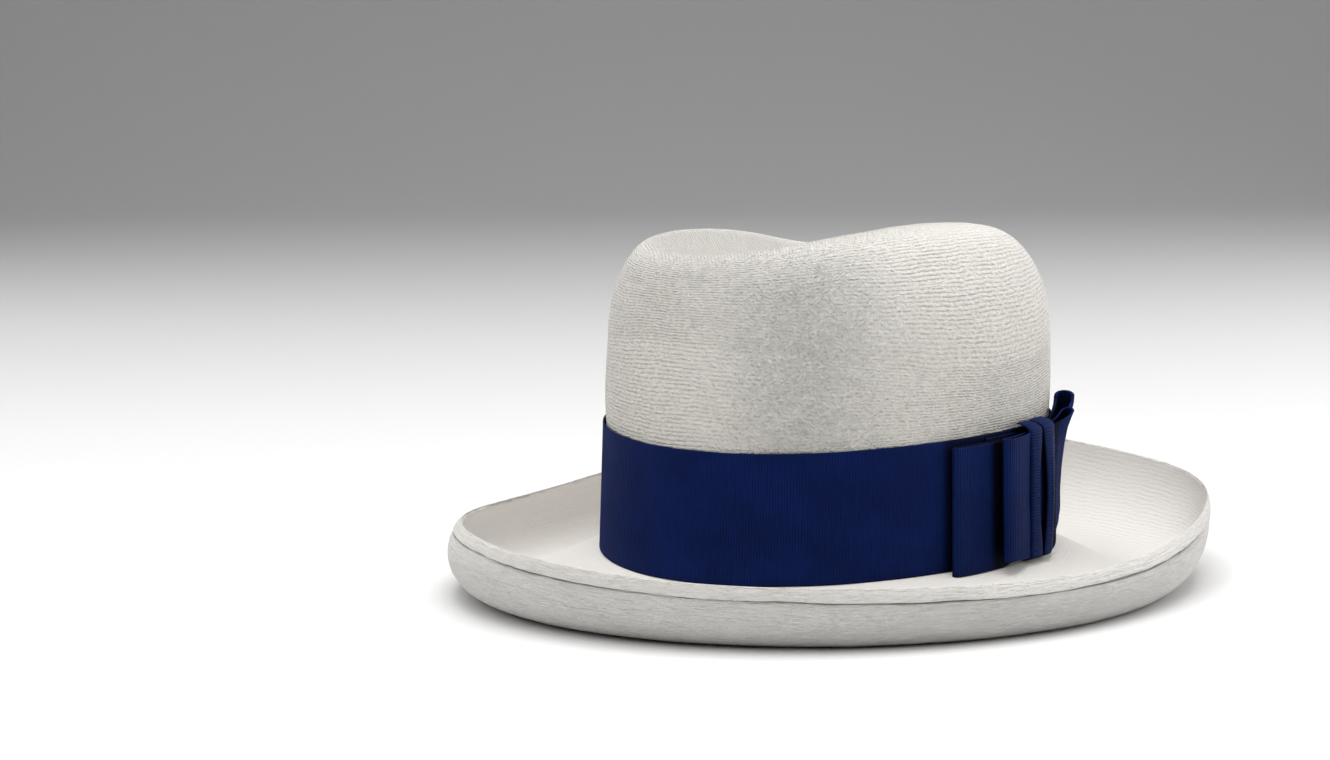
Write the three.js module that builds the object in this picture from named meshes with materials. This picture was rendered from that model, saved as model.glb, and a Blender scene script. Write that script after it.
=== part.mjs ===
// A straw homburg: centre-dent crown, curled brim, ribbed ribbon band with a
// pleated side bow, and the leather sweatband that the head touches.
// Millimetres. +Z up, front of the hat towards -Y, wearer's left towards +X.
// z = 0 is the plane that the brim rests on.
import * as THREE from "three";

// ---------------------------------------------------------------- dimensions
const HALF_W = 86.3; // hatband outer face, half width
const HALF_L = 103.86; // hatband outer face, half length
const OVAL_N = 1.9865; // exponent of the head oval
const OVAL_EGG = -0.06; // fore-aft egg of the head oval
const BAND_H = 51.57; // hatband height (two-inch ribbon)
const BAND_T = 0.9; // hatband thickness
const BAND_TAPER_X = 1.12; // how far the band leans in at its top, side
const BAND_TAPER_Y = 2.1; // and front or back
const STRAW_T = 1.2; // straw body thickness
const GAP = 0.3; // clearance between pieces that touch
const BREAK_RISE_1 = 0.25; // brim break height, fore-aft term
const BREAK_RISE_2 = 1.95; // and side rise term
const BRIM_W = [62.33, 3.21, -0.59, -0.84]; // brim reach: mean, sin, cos2, cos
const CURL_R = [21.8, 6.39, -7.34]; // curl radius: mean, sin, cos2
const CURL_A = [120.8, -3.79, 22.74, -19.34]; // curl angle in degrees
const VALLEY = [16.85, 0.0190, 0.0012]; // depth of the brim's lowest ring, lean
const CROWN = {
  taperSide: 1.6, taperFront: 2.23, taperBack: 0.67,
  shoulderSide: 79.32, shoulderFront: 90.66, shoulderBack: 94.29,
  top: 134.19, topY: -1.69, topYY: -5.32, topX: 2.65,
  roundSide: 39.67, roundFront: 7.8, roundBack: 38.2, roundness: 2.01,
  dent: 23.82, dentY: 12.64, dentYY: -4.6, dentW: 39.99, dentWY: 0.49,
  dentX: -7.22, dentTurn: -7.0, dentFade: 0.72,
};
const SWEAT_H = 46; // leather sweatband height
const SWEAT_T = 1.2;

const CENTRE_X = -0.7613, CENTRE_Y = 3.2083; // middle of the brim, from the band's middle
const COLS = 48; // columns round the hat

// ------------------------------------------------------------------- surface
const sgnpow = (v, p) => Math.sign(v) * Math.abs(v) ** p;
function ovalPoint(a, b, th) {
  const c = Math.cos(th), s = Math.sin(th);
  return [a * sgnpow(c, 2 / OVAL_N) * (1 + OVAL_EGG * s), b * sgnpow(s, 2 / OVAL_N)];
}
function ovalFrame(a, b, th) {
  const e = 1e-3, [x, y] = ovalPoint(a, b, th);
  const [x1, y1] = ovalPoint(a, b, th - e), [x2, y2] = ovalPoint(a, b, th + e);
  const l = Math.hypot(x2 - x1, y2 - y1);
  return { x, y, nx: (y2 - y1) / l, ny: -(x2 - x1) / l };
}
const breakZ = (th) => BREAK_RISE_1 * Math.sin(th) + BREAK_RISE_2 * Math.cos(2 * th);
const brimReach = (th) => BRIM_W[0] + BRIM_W[1] * Math.sin(th) + BRIM_W[2] * Math.cos(2 * th) + BRIM_W[3] * Math.cos(th);
const curlR = (th) => CURL_R[0] + CURL_R[1] * Math.sin(th) + CURL_R[2] * Math.cos(2 * th);
const curlA = (th) => ((CURL_A[0] + CURL_A[1] * Math.sin(th) + CURL_A[2] * Math.cos(2 * th) + CURL_A[3] * Math.cos(th)) * Math.PI) / 180;

// The brim's lowest ring lies in a plane that leans slightly against the
// crown. settle() turns everything so that this plane is level, at z = 0.
const valleyZ = (x, y) => -VALLEY[0] + VALLEY[1] * x + VALLEY[2] * y;
const level = new THREE.Quaternion().setFromUnitVectors(
  new THREE.Vector3(-VALLEY[1], -VALLEY[2], 1).normalize(), new THREE.Vector3(0, 0, 1));
const REST = STRAW_T / 2 + VALLEY[0] / Math.hypot(1, VALLEY[1], VALLEY[2]);
const CENTRE = [CENTRE_X, CENTRE_Y];
function settle(p) {
  const v = new THREE.Vector3(...p).applyQuaternion(level);
  return [v.x - CENTRE[0], v.y - CENTRE[1], v.z + REST];
}

// A point at distance r outside the hatband's outer oval, at height z over the
// break plane and column angle th.
function ringPoint(th, r, z, k = 0) {
  const f = ovalFrame(HALF_W - BAND_TAPER_X * k, HALF_L - BAND_TAPER_Y * k, th);
  return [f.x + f.nx * r, f.y + f.ny * r, z];
}

// The brim's section at column th: a straight slope from the break, tangent to
// an arc that curls up and over. `sink` drops the slope's start under the break.
function brimSection(th) {
  const R = curlR(th), rc = brimReach(th) - R, p = curlA(th);
  const f = ovalFrame(HALF_W, HALF_L, th);
  const vx = f.x + f.nx * rc, vy = f.y + f.ny * rc;
  const zc = valleyZ(vx, vy) + R, zs = breakZ(th) - 1.9;
  const D = Math.hypot(rc, zc - zs);
  const slope = Math.asin(R / D) - Math.atan2(zc - zs, rc);
  return { R, rc, zc, p, zs, slope };
}
// Upper surface for side = 1, lower for side = -1.
function slopePoint(S, r, side) {
  return [r, S.zs - r * Math.tan(S.slope) + (side * STRAW_T) / 2 / Math.cos(S.slope)];
}
function curlPoint(S, phi, off) {
  return [S.rc + (S.R - off) * Math.sin(phi), S.zc - (S.R - off) * Math.cos(phi)];
}

// ----------------------------------------------------------------- mesh tools
function solid(points, faces) {
  const g = new THREE.BufferGeometry();
  g.setAttribute("position", new THREE.BufferAttribute(new Float32Array(points.flat()), 3));
  g.setIndex(faces.flat());
  g.computeVertexNormals();
  return g;
}
// A grid of rows by columns. Columns wrap. Rows wrap too for a ring, otherwise
// the first and last rows close on single end points.
function ringSolid(rows) {
  const n = rows[0].length, m = rows.length, pts = rows.flat(), faces = [];
  for (let i = 0; i < m; i++)
    for (let j = 0; j < n; j++) {
      const a = i * n + j, b = i * n + ((j + 1) % n);
      const c = ((i + 1) % m) * n + j, d = ((i + 1) % m) * n + ((j + 1) % n);
      faces.push([a, c, d], [a, d, b]);
    }
  return outward(pts, faces);
}
function capsuleSolid(rows, p0, p1) {
  const n = rows[0].length, m = rows.length, pts = [...rows.flat(), p0, p1], faces = [];
  const s = m * n, e = m * n + 1;
  for (let j = 0; j < n; j++) {
    const j2 = (j + 1) % n;
    faces.push([s, j, j2]);
    faces.push([e, (m - 1) * n + j2, (m - 1) * n + j]);
  }
  for (let i = 0; i + 1 < m; i++)
    for (let j = 0; j < n; j++) {
      const j2 = (j + 1) % n, a = i * n + j, b = i * n + j2, c = a + n, d = b + n;
      faces.push([a, c, d], [a, d, b]);
    }
  return outward(pts, faces);
}
// Stations of equal closed outlines, closed at both ends. Each outline is
// convex or a thin C, so `cap` says how its points triangulate.
function loftSolid(stations, cap) {
  const n = stations[0].length, m = stations.length, pts = stations.flat(), faces = [];
  for (let i = 0; i + 1 < m; i++)
    for (let j = 0; j < n; j++) {
      const j2 = (j + 1) % n, a = i * n + j, b = i * n + j2, c = a + n, d = b + n;
      faces.push([a, c, d], [a, d, b]);
    }
  const e = (m - 1) * n;
  for (const [a, b, c] of cap) faces.push([a, b, c], [e + a, e + c, e + b]);
  return outward(pts, faces);
}
const fan = (n) => Array.from({ length: n - 2 }, (_, i) => [0, i + 1, i + 2]);
// An outline made of a path and its offset walked back: pairs up the points.
const strip = (n) => {
  const out = [], h = n / 2;
  for (let i = 0; i + 1 < h; i++) out.push([i, i + 1, n - 2 - i], [i, n - 2 - i, n - 1 - i]);
  return out;
};
function outward(pts, faces) {
  let v = 0;
  for (const [a, b, c] of faces) {
    const A = pts[a], B = pts[b], C = pts[c];
    v += A[0] * (B[1] * C[2] - B[2] * C[1]) - A[1] * (B[0] * C[2] - B[2] * C[0]) + A[2] * (B[0] * C[1] - B[1] * C[0]);
  }
  return solid(pts, v < 0 ? faces.map(([a, b, c]) => [a, c, b]) : faces);
}
const group = new THREE.Group();
function piece(name, geometry, colour, roughness, metalness = 0) {
  const mesh = new THREE.Mesh(geometry, new THREE.MeshStandardMaterial({ color: colour, roughness, metalness }));
  mesh.name = name;
  group.add(mesh);
  return mesh;
}
const TH = Array.from({ length: COLS }, (_, j) => (j / COLS) * 2 * Math.PI);

// ----------------------------------------------------------------- crown form
const smooth = (t) => { t = Math.min(1, Math.max(0, t)); return t * t * (3 - 2 * t); };
function crownRow(th, kind, t) {
  const K = CROWN, s = Math.sin(th), c = Math.cos(th);
  const fr = Math.max(0, -s) ** 2, bk = Math.max(0, s) ** 2, sd = c * c;
  const [X, Y] = ovalPoint(HALF_W - BAND_TAPER_X, HALF_L - BAND_TAPER_Y, th);
  const rl = Math.hypot(X, Y);
  const z0 = K.shoulderSide * sd + K.shoulderFront * fr + K.shoulderBack * bk;
  const R = K.roundSide * sd + K.roundFront * fr + K.roundBack * bk;
  const tp = K.taperSide * sd + K.taperFront * fr + K.taperBack * bk;
  if (kind === "wall") {
    const zb = breakZ(th) + BAND_H, k = 1 - (tp * t ** 1.5) / rl;
    const z = zb + (z0 - zb) * t;
    const nip = BAND_T + GAP * 1.2 > 0 ? (BAND_T + GAP) * Math.exp(-((z - zb) / 9)) : 0;
    return [X * k - (X / rl) * nip, Y * k - (Y / rl) * nip, z];
  }
  let d, q;
  if (t <= 0.6) {
    const f = (t / 0.6) * (Math.PI / 2);
    d = R * (1 - Math.cos(f) ** (2 / K.roundness));
    q = Math.sin(f) ** (2 / K.roundness);
  } else { d = R + ((rl - tp - R) * (t - 0.6)) / 0.4; q = 1; }
  const k = Math.max(0, 1 - (tp + d) / rl), x = X * k, y = Y * k, v = y / 90;
  const H = K.top + K.topY * v + K.topYY * v * v + K.topX * (x / 50);
  const z = z0 + (H - z0) * q;
  const depth = (K.dent + K.dentY * v + K.dentYY * v * v) * (1 - K.dentFade * smooth((y - 25) / 60));
  const w = K.dentW + K.dentWY * v, u = (x - K.dentX - K.dentTurn * v) / w;
  return [x, y, z - depth * Math.exp(-u * u) * smooth((z - z0) / (H - z0))];
}

// ----------------------------------------------------------------- straw body
const INSET = BAND_T + GAP; // crown face under the band, from the band's face
const crownOuter = [];
for (const t of [0.93, 0.85, 0.77, 0.69, 0.6, 0.48, 0.36, 0.24, 0.12])
  crownOuter.push(TH.map((th) => crownRow(th, "top", t)));
for (const t of [1, 0.6, 0.25, 0]) crownOuter.push(TH.map((th) => crownRow(th, "wall", t)));
const apex = (() => {
  const u = -CROWN.dentX / CROWN.dentW;
  return [0, 0, CROWN.top - CROWN.dent * Math.exp(-u * u)];
})();
// The same surface moved in by the straw's thickness along its normals.
function inward(rows, centre, dist) {
  const m = rows.length, n = rows[0].length;
  const at = (i, j) => (i < 0 ? centre : rows[Math.min(i, m - 1)][(j + n) % n]);
  return rows.map((row, i) => row.map((p, j) => {
    const a = at(i - 1, j), b = at(i + 1, j), c = at(i, j - 1), d = at(i, j + 1);
    const u = new THREE.Vector3(b[0] - a[0], b[1] - a[1], b[2] - a[2]);
    const v = new THREE.Vector3(d[0] - c[0], d[1] - c[1], d[2] - c[2]);
    const N = u.cross(v).normalize();
    return [p[0] - N.x * dist, p[1] - N.y * dist, p[2] - N.z * dist];
  }));
}
const crownInner = inward(crownOuter, apex, STRAW_T);
const sections = TH.map(brimSection);
const FLAT = 1.6; // half width of the flat ring that the hat stands on
function brimRows(side) {
  const face = side > 0 ? -INSET : -INSET - STRAW_T, rows = [];
  for (const k of [0.5, 0.08]) rows.push(TH.map((th) => ringPoint(th, face, breakZ(th) + BAND_H * k, k)));
  rows.push(TH.map((th, j) => ringPoint(th, face, slopePoint(sections[j], face, side)[1] + (side > 0 ? 0.25 : 0.9))));
  rows.push(TH.map((th, j) => ringPoint(th, ...slopePoint(sections[j], face + 0.6, side))));
  for (const t of [0.35, 0.7]) rows.push(TH.map((th, j) => {
    const S = sections[j], r1 = curlPoint(S, -S.slope, (side * STRAW_T) / 2)[0];
    return ringPoint(th, ...slopePoint(S, r1 * t, side));
  }));
  for (let k = 0; k < 9; k++) rows.push(TH.map((th, j) => {
    const S = sections[j], d = Math.asin(FLAT / (S.R + STRAW_T / 2));
    const phi = k === 0 ? -S.slope : k === 1 ? -d : d + ((S.p - d) * (k - 2)) / 6;
    const p = ringPoint(th, ...curlPoint(S, phi, (side * STRAW_T) / 2));
    if (side < 0 && (k === 1 || k === 2)) p.rest = true;
    return p;
  }));
  return rows;
}
const upper = brimRows(1), lower = brimRows(-1);
function settleRows(rows) {
  return rows.map((row) => row.map((p) => {
    const q = settle(p);
    if (p.rest) q[2] = 0;
    return q;
  }));
}
const apexIn = [apex[0], apex[1], apex[2] - STRAW_T];
const bodyRows = [...crownOuter, ...upper, ...lower.slice().reverse(), ...crownInner.slice().reverse()];
piece("straw_body", capsuleSolid(settleRows(bodyRows), settle(apex), settle(apexIn)), 0xe9e6dc, 0.75);

// The edge's back-woven second layer, on the outside of the curl.
const WELT_H = 4.4, WELT_T = 0.6;
piece("brim_edge_welt", ringSolid(settleRows(
  [[0, GAP], [0, GAP + WELT_T], [1, GAP + WELT_T], [1, GAP]].map(([k, o]) => TH.map((th, j) => {
    const S = sections[j], off = -STRAW_T / 2 - o, a = WELT_H / (S.R + STRAW_T);
    return ringPoint(th, ...curlPoint(S, S.p - a * k, off));
  })))), 0xefece3, 0.6);

// ------------------------------------------------------------------- ribbon band
piece("hatband", ringSolid(settleRows(
  [[0, 0], [0, 1], [-BAND_T, 1], [-BAND_T, 0]].map(([r, k]) =>
    TH.map((th) => ringPoint(th, r, breakZ(th) + BAND_H * k, k))))), 0x0b1745, 0.7);

// Arc length along the band's outer face from the side centre, as a table.
const ARC = [];
{
  const N = 1440;
  let s = 0, last = ovalPoint(HALF_W, HALF_L, -Math.PI / 2 - 0.2);
  for (let i = 0; i <= N; i++) {
    const th = -Math.PI / 2 - 0.2 + ((Math.PI + 0.4) * i) / N;
    const p = ovalPoint(HALF_W, HALF_L, th);
    s += Math.hypot(p[0] - last[0], p[1] - last[1]);
    last = p;
    ARC.push([s, th]);
  }
  const mid = ARC.reduce((m, a) => (Math.abs(a[1]) < Math.abs(m[1]) ? a : m));
  const s0 = mid[0];
  for (const a of ARC) a[0] -= s0;
}
function thetaAt(s) {
  let lo = 0, hi = ARC.length - 1;
  while (hi - lo > 1) { const m = (lo + hi) >> 1; if (ARC[m][0] < s) lo = m; else hi = m; }
  const a = ARC[lo], b = ARC[hi];
  return a[1] + ((b[1] - a[1]) * (s - a[0])) / (b[0] - a[0]);
}
// A point at arc s, distance off the band's face, height z over its lower edge.
function bandPoint(s, off, z) {
  const th = thetaAt(s), k = z / BAND_H;
  return ringPoint(th, off, breakZ(th) + z, k);
}
// The band's facets are chords: pieces over it keep this much more clearance.
const SAG = 0.25;

// A ribbon standing on edge along a path of [s, off] points. lo and hi give its
// lower and upper edge at s, and shape gives its offset at s and height z.
function ribbon(path, t, lo, hi, shape = (s, z, off) => off) {
  const P = path.map(([s, o]) => new THREE.Vector2(s, o));
  const stations = P.map((p, i) => {
    const a = P[Math.max(0, i - 1)], b = P[Math.min(P.length - 1, i + 1)];
    const d = b.clone().sub(a).normalize(), n = new THREE.Vector2(-d.y, d.x).multiplyScalar(t / 2);
    const z0 = lo(p.x), z1 = hi(p.x), zs = [z0, (z0 + z1) / 2, z1];
    const at = (q, z) => settle(bandPoint(q.x, shape(p.x, z, q.y) + SAG, z));
    const A = p.clone().add(n), B = p.clone().sub(n);
    return [...zs.map((z) => at(A, z)), ...zs.slice().reverse().map((z) => at(B, z))];
  });
  return loftSolid(stations, strip(6));
}
// Out along one side, round a soft fold at s1, and back along the other.
function loopPath(s0, s1, inner, fold, outer, ends) {
  const dir = Math.sign(s1 - s0), out = [], r = (fold[1] - fold[0]) / 2;
  const mid = (fold[0] + fold[1]) / 2;
  for (const k of [0, 0.35, 0.7]) out.push([s0 + (s1 - dir * r - s0) * k, inner + (fold[0] - inner) * k * k]);
  for (let i = 0; i <= 6; i++) {
    const a = -Math.PI / 2 + (Math.PI * i) / 6;
    out.push([s1 - dir * r + dir * r * Math.cos(a), mid + r * Math.sin(a)]);
  }
  for (const k of [0.7, 0.35, 0]) out.push([ends + (s1 - dir * r - ends) * k, outer + (fold[1] - outer) * k * k]);
  return out;
}
const T = 0.6; // ribbon thickness in the bow
const BOW_S = 14.5; // bow centre along the band, behind the side centre
const flatLo = (z) => () => z;
piece("bow_backing", ribbon([[-18, 0.6], [0, 0.6], [BOW_S, 0.6], [30, 0.6], [48, 0.6]], T, flatLo(1.2), flatLo(50)), 0x0a1440, 0.7);
// the lower edges lift a little where the keeper passes under them
const tuck = (h) => (s) => h + (0.7 - h) * smooth(1.3 - Math.abs(s - BOW_S) / 20);
piece("bow_front_outer_loop", ribbon(loopPath(14, -38, 1.5, [1.5, 4.1], 2.7, 14), T, tuck(-0.4), flatLo(48.6)), 0x0d1a4e, 0.65);
piece("bow_front_inner_loop", ribbon(loopPath(14, -14, 3.6, [4.9, 7.1], 4.8, 14), T, tuck(-0.2), flatLo(50.6)), 0x0d1a4e, 0.65);
// an edge that climbs by e from s0 to s1 along the band
const rise = (h, e, s0, s1) => (s) => (h < 1 ? tuck(h)(s) : h) + e * Math.max(0, Math.min(1, (s - s0) / (s1 - s0))) ** 1.3;
// the rear loops lie close to the band low down and stand open at their tops
const look = (table, z) => {
  let i = 0;
  while (i < table.length - 2 && table[i + 1][0] < z) i++;
  const [[za, ma], [zb, mb]] = [table[i], table[i + 1]];
  return ma + (mb - ma) * Math.max(0, Math.min(1, (z - za) / (zb - za)));
};
const SHORT_TABLE = [[0, 0.56], [20, 0.6], [30, 0.67], [38.5, 0.78], [47, 0.99], [55, 1.36], [62, 1.6]];
const LONG_TABLE = [[0, 0.66], [20, 0.68], [30, 0.85], [38.5, 1.12], [47, 1.55], [55, 2.0], [62, 2.25]];
const pressed = (s, z, off) => {
  const near = look(SHORT_TABLE, z), m = near + (look(LONG_TABLE, z) - near) * smooth((s - 44.5) / 14);
  return 0.95 + (off - 0.95) * (1 + (m - 1) * smooth((s - 25.6) / 12));
};
piece("bow_rear_outer_loop", ribbon(loopPath(15, 66, 1.5, [1.5, 4.1], 2.7, 15), T, rise(-0.4, 15.5, 25.6, 66), rise(48.6, 11, 25.6, 66), pressed), 0x0d1a4e, 0.65);
piece("bow_rear_inner_loop", ribbon(loopPath(15, 43, 3.6, [5.2, 7.6], 4.8, 15), T, rise(-0.2, 12.5, 25.6, 43), rise(50.6, 5.5, 25.6, 43), pressed), 0x0d1a4e, 0.65);

// The keeper: one strip folded into two pleats, wrapped over both edges.
{
  const prof = [[3.6, 0], [5, 1.0], [8.5, 1.5], [12, 1.0], [13.6, 0], [15, 1.1], [19, 1.7], [23, 1.2], [25.4, 0]];
  const stations = prof.map(([s, bump]) => {
    const o = 6.5 + bump * 0.9, t = 0.7, zt = 53.2 + bump * 0.3, oi = 5.9;
    const outer = [[0.35, zt], [o * 0.55, zt + 0.2], [o, zt - 2.2], [o + 0.5, 27], [o, 0.4], [o * 0.55, -1.2], [0.35, -0.85]];
    const inn = [[0.35, zt - t], [o * 0.5, zt - t], [oi, zt - 2.7], [oi, 27], [oi, 0.5], [o * 0.5, -0.4], [0.35, -0.1]];
    return [...outer, ...inn.reverse()].map(([off, z]) => settle(bandPoint(s, off + SAG, z)));
  });
  piece("bow_keeper", loftSolid(stations, strip(14)), 0x13225e, 0.6);
}

// -------------------------------------------------------------------- sweatband
const inFace = -INSET - STRAW_T; // the crown's inner face
const REAR = Math.PI / 2;
const openTH = (gap) => Array.from({ length: COLS + 1 }, (_, i) => {
  const g = gap / HALF_W;
  return i === 0 ? REAR + g / 2 : i === COLS ? REAR + 2 * Math.PI - g / 2 : REAR + (i / COLS) * 2 * Math.PI;
});
const LEAN_IN = 1.7; // how far the leather stands off the crown at its top
piece("sweatband_leather", loftSolid(openTH(1.4).map((th) => {
  const z0 = breakZ(th), r0 = inFace - 0.9 - GAP * 0, k = SWEAT_H / BAND_H;
  return [[r0, 1.6, 0], [r0 - LEAN_IN, SWEAT_H, k], [r0 - LEAN_IN - SWEAT_T, SWEAT_H, k], [r0 - SWEAT_T, 1.6, 0]]
    .map(([r, z, kk]) => settle(ringPoint(th, r, z0 + z, kk)));
}), fan(4)), 0x8a5a34, 0.5);
const reedR = inFace - 0.9 - SWEAT_T / 2, REED_R = 0.6;
piece("sweatband_reed", ringSolid(settleRows(Array.from({ length: 6 }, (_, i) => {
  const a = (i / 6) * 2 * Math.PI;
  return TH.map((th) => ringPoint(th, reedR + REED_R * Math.cos(a), breakZ(th) + 0.4 + REED_R * Math.sin(a)));
}))), 0xd9d2c0, 0.4);
{
  const w = [[-1.2, 4.4], [-1.2, 0.4], [-0.85, -0.45], [0, -0.8], [0.85, -0.45], [1.2, 0.4], [1.2, 4.4]];
  const n = [[0.9, 4.4], [0.9, 0.4], [0.64, -0.24], [0, -0.5], [-0.64, -0.24], [-0.9, 0.4], [-0.9, 4.4]];
  piece("sweatband_reed_tape", ringSolid(settleRows([...w, ...n].map(([r, z]) =>
    TH.map((th) => ringPoint(th, reedR + r, breakZ(th) + z))))), 0x6b4428, 0.6);
}
// running stitch through tape, leather and straw, drawn as its inner thread
piece("sweatband_thread", ringSolid(settleRows(Array.from({ length: 4 }, (_, i) => {
  const a = (i / 4) * 2 * Math.PI + Math.PI / 4;
  return TH.map((th, j) => ringPoint(th, reedR - 1.2 - GAP - 0.35 + 0.3 * Math.cos(a), breakZ(th) + 2.8 + (j % 2 ? 0.35 : -0.35) + 0.3 * Math.sin(a)));
}))), 0xf2efe6, 0.6);
// Small pieces at the rear joint. x runs along the joint, r inwards.
const ringRear = (x, r, z) => {
  const th = REAR - x / HALF_W / 1.02;
  return settle(ringPoint(th, r, breakZ(th) + z, z / BAND_H));
};
piece("sweatband_joint_patch", loftSolid([-8, -4, 0, 4, 8].map((x) =>
  [[inFace - 0.45, 16], [inFace - 0.5, 44], [inFace - 1.0, 44], [inFace - 0.95, 16]].map(([r, z]) => ringRear(x, r, z))), fan(4)), 0x7a4e2c, 0.6);
{
  const r0 = inFace - 0.9 - SWEAT_T - 0.9, t = 0.4, z0 = 7, z1 = 13;
  const path = [[-0.5, 0.3], [-6, 0.3], [-10.4, 0.35], [-11.2, 0.8], [-11.4, 1.3], [-11.2, 1.8], [-10.4, 2.25], [-6, 2.2], [0, 1.5],
    [6, 2.2], [10.4, 2.25], [11.2, 1.8], [11.4, 1.3], [11.2, 0.8], [10.4, 0.35], [6, 0.3], [0.5, 0.3]];
  const P = path.map(([x, o]) => new THREE.Vector2(x, o));
  piece("sweatband_bow_ribbon", loftSolid(P.map((p, i) => {
    const d = P[Math.min(P.length - 1, i + 1)].clone().sub(P[Math.max(0, i - 1)]).normalize();
    const n = new THREE.Vector2(-d.y, d.x).multiplyScalar(t / 2), A = p.clone().add(n), B = p.clone().sub(n);
    return [[A, z0], [A, z1], [B, z1], [B, z0]].map(([q, z]) => ringRear(q.x, r0 - q.y, z));
  }), fan(4)), 0x10102a, 0.4);
  piece("sweatband_bow_knot", loftSolid([-2.4, -1.8, 0, 1.8, 2.4].map((x, i) => {
    const b = i === 0 || i === 4 ? 0.4 : 0;
    return [[2.35, 6.6 + b], [2.35, 13.4 - b], [3.0 - b, 13.2 - b], [3.3 - b, 10], [3.0 - b, 6.8 + b]].map(([o, z]) => ringRear(x, r0 - o, z));
  }), fan(5)), 0x10102a, 0.4);
}

export default group;
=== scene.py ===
import bpy, math
import numpy as np
from mathutils import Matrix, Vector


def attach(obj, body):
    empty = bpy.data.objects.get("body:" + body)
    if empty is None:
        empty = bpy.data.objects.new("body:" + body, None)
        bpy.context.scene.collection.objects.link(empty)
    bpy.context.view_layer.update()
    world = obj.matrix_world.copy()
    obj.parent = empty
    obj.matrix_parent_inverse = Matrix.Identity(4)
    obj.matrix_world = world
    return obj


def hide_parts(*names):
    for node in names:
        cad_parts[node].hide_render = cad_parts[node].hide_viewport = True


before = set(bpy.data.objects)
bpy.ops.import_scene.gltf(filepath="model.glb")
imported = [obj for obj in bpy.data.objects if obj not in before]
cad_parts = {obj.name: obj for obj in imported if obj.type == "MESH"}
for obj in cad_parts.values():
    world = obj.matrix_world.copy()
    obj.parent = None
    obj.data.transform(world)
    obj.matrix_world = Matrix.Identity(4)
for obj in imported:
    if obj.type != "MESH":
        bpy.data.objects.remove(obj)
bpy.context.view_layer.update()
MM = 0.001
TAU = 2 * math.pi
rng = np.random.default_rng(11)

# ------------------------------------------------------------ the hat's form
# Millimetres, in the hat's own axes; settle() levels it on the resting plane.
HALF_W, HALF_L, OVAL_N, OVAL_EGG = 86.3, 103.86, 1.9865, -0.06
BAND_H, BAND_T, TAPX, TAPY = 51.57, 0.9, 1.12, 2.1
STRAW_T, GAP = 1.2, 0.3
INSET = BAND_T + GAP
CENTRE = (-0.7613, 3.2083)
VALLEY = (16.85, 0.0190, 0.0012)
K = dict(taperSide=1.6, taperFront=2.23, taperBack=0.67, shoulderSide=79.32, shoulderFront=90.66,
         shoulderBack=94.29, top=134.19, topY=-1.69, topYY=-5.32, topX=2.65, roundSide=39.67,
         roundFront=7.8, roundBack=38.2, roundness=2.01, dent=23.82, dentY=12.64, dentYY=-4.6,
         dentW=39.99, dentWY=0.49, dentX=-7.22, dentTurn=-7.0, dentFade=0.72)

_n = Vector((-VALLEY[1], -VALLEY[2], 1)).normalized()
LEVEL = np.array(_n.rotation_difference(Vector((0, 0, 1))).to_matrix())
REST = STRAW_T / 2 + VALLEY[0] / math.sqrt(1 + VALLEY[1] ** 2 + VALLEY[2] ** 2)
SHIFT = np.array([-CENTRE[0], -CENTRE[1], REST])


def settle(p):
    """Hat axes in mm to the part's frame in metres."""
    return (np.asarray(p) @ LEVEL.T + SHIFT) * MM


def smooth(t):
    t = np.clip(t, 0, 1)
    return t * t * (3 - 2 * t)


def sgnpow(v, p):
    return np.sign(v) * np.abs(v) ** p


def oval_point(a, b, th):
    c, s = np.cos(th), np.sin(th)
    return a * sgnpow(c, 2 / OVAL_N) * (1 + OVAL_EGG * s), b * sgnpow(s, 2 / OVAL_N)


def oval_frame(a, b, th):
    e = 1e-3
    x, y = oval_point(a, b, th)
    x1, y1 = oval_point(a, b, th - e)
    x2, y2 = oval_point(a, b, th + e)
    l = np.hypot(x2 - x1, y2 - y1)
    return x, y, (y2 - y1) / l, -(x2 - x1) / l


def break_z(th):
    return 0.25 * np.sin(th) + 1.95 * np.cos(2 * th)


def brim_w(th):
    return 62.33 + 3.21 * np.sin(th) - 0.59 * np.cos(2 * th) - 0.84 * np.cos(th)


def curl_r(th):
    return 21.8 + 6.39 * np.sin(th) - 7.34 * np.cos(2 * th)


def curl_a(th):
    return np.radians(120.8 - 3.79 * np.sin(th) + 22.74 * np.cos(2 * th) - 19.34 * np.cos(th))


def ring(th, r, z, k=0.0):
    """Distance r outside the band's oval (leant in by k, 0 at its lower edge and 1 at its upper)."""
    x, y, nx, ny = oval_frame(HALF_W, HALF_L, th)
    xi, yi = oval_point(HALF_W - TAPX * k, HALF_L - TAPY * k, th) if np.isscalar(k) else (
        x - TAPX * k * x / HALF_W, y - TAPY * k * y / HALF_L)
    return np.stack(np.broadcast_arrays(xi + nx * r, yi + ny * r, z), -1)


# arc length along the band's outer face, from the side centre
_t = np.linspace(-math.pi, math.pi, 14401)
_x, _y = oval_point(HALF_W, HALF_L, _t)
_s = np.r_[0, np.cumsum(np.hypot(np.diff(_x), np.diff(_y)))]
PERIM = float(_s[-1])
_s -= np.interp(0, _t, _s)


def theta_at(s):
    return np.interp(s, _s, _t)


def arc_at(th):
    return np.interp((np.asarray(th) + math.pi) % TAU - math.pi, _t, _s)


def band_point(s, off, z):
    th = theta_at(s)
    return ring(th, off, break_z(th) + z, z / BAND_H)


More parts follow.
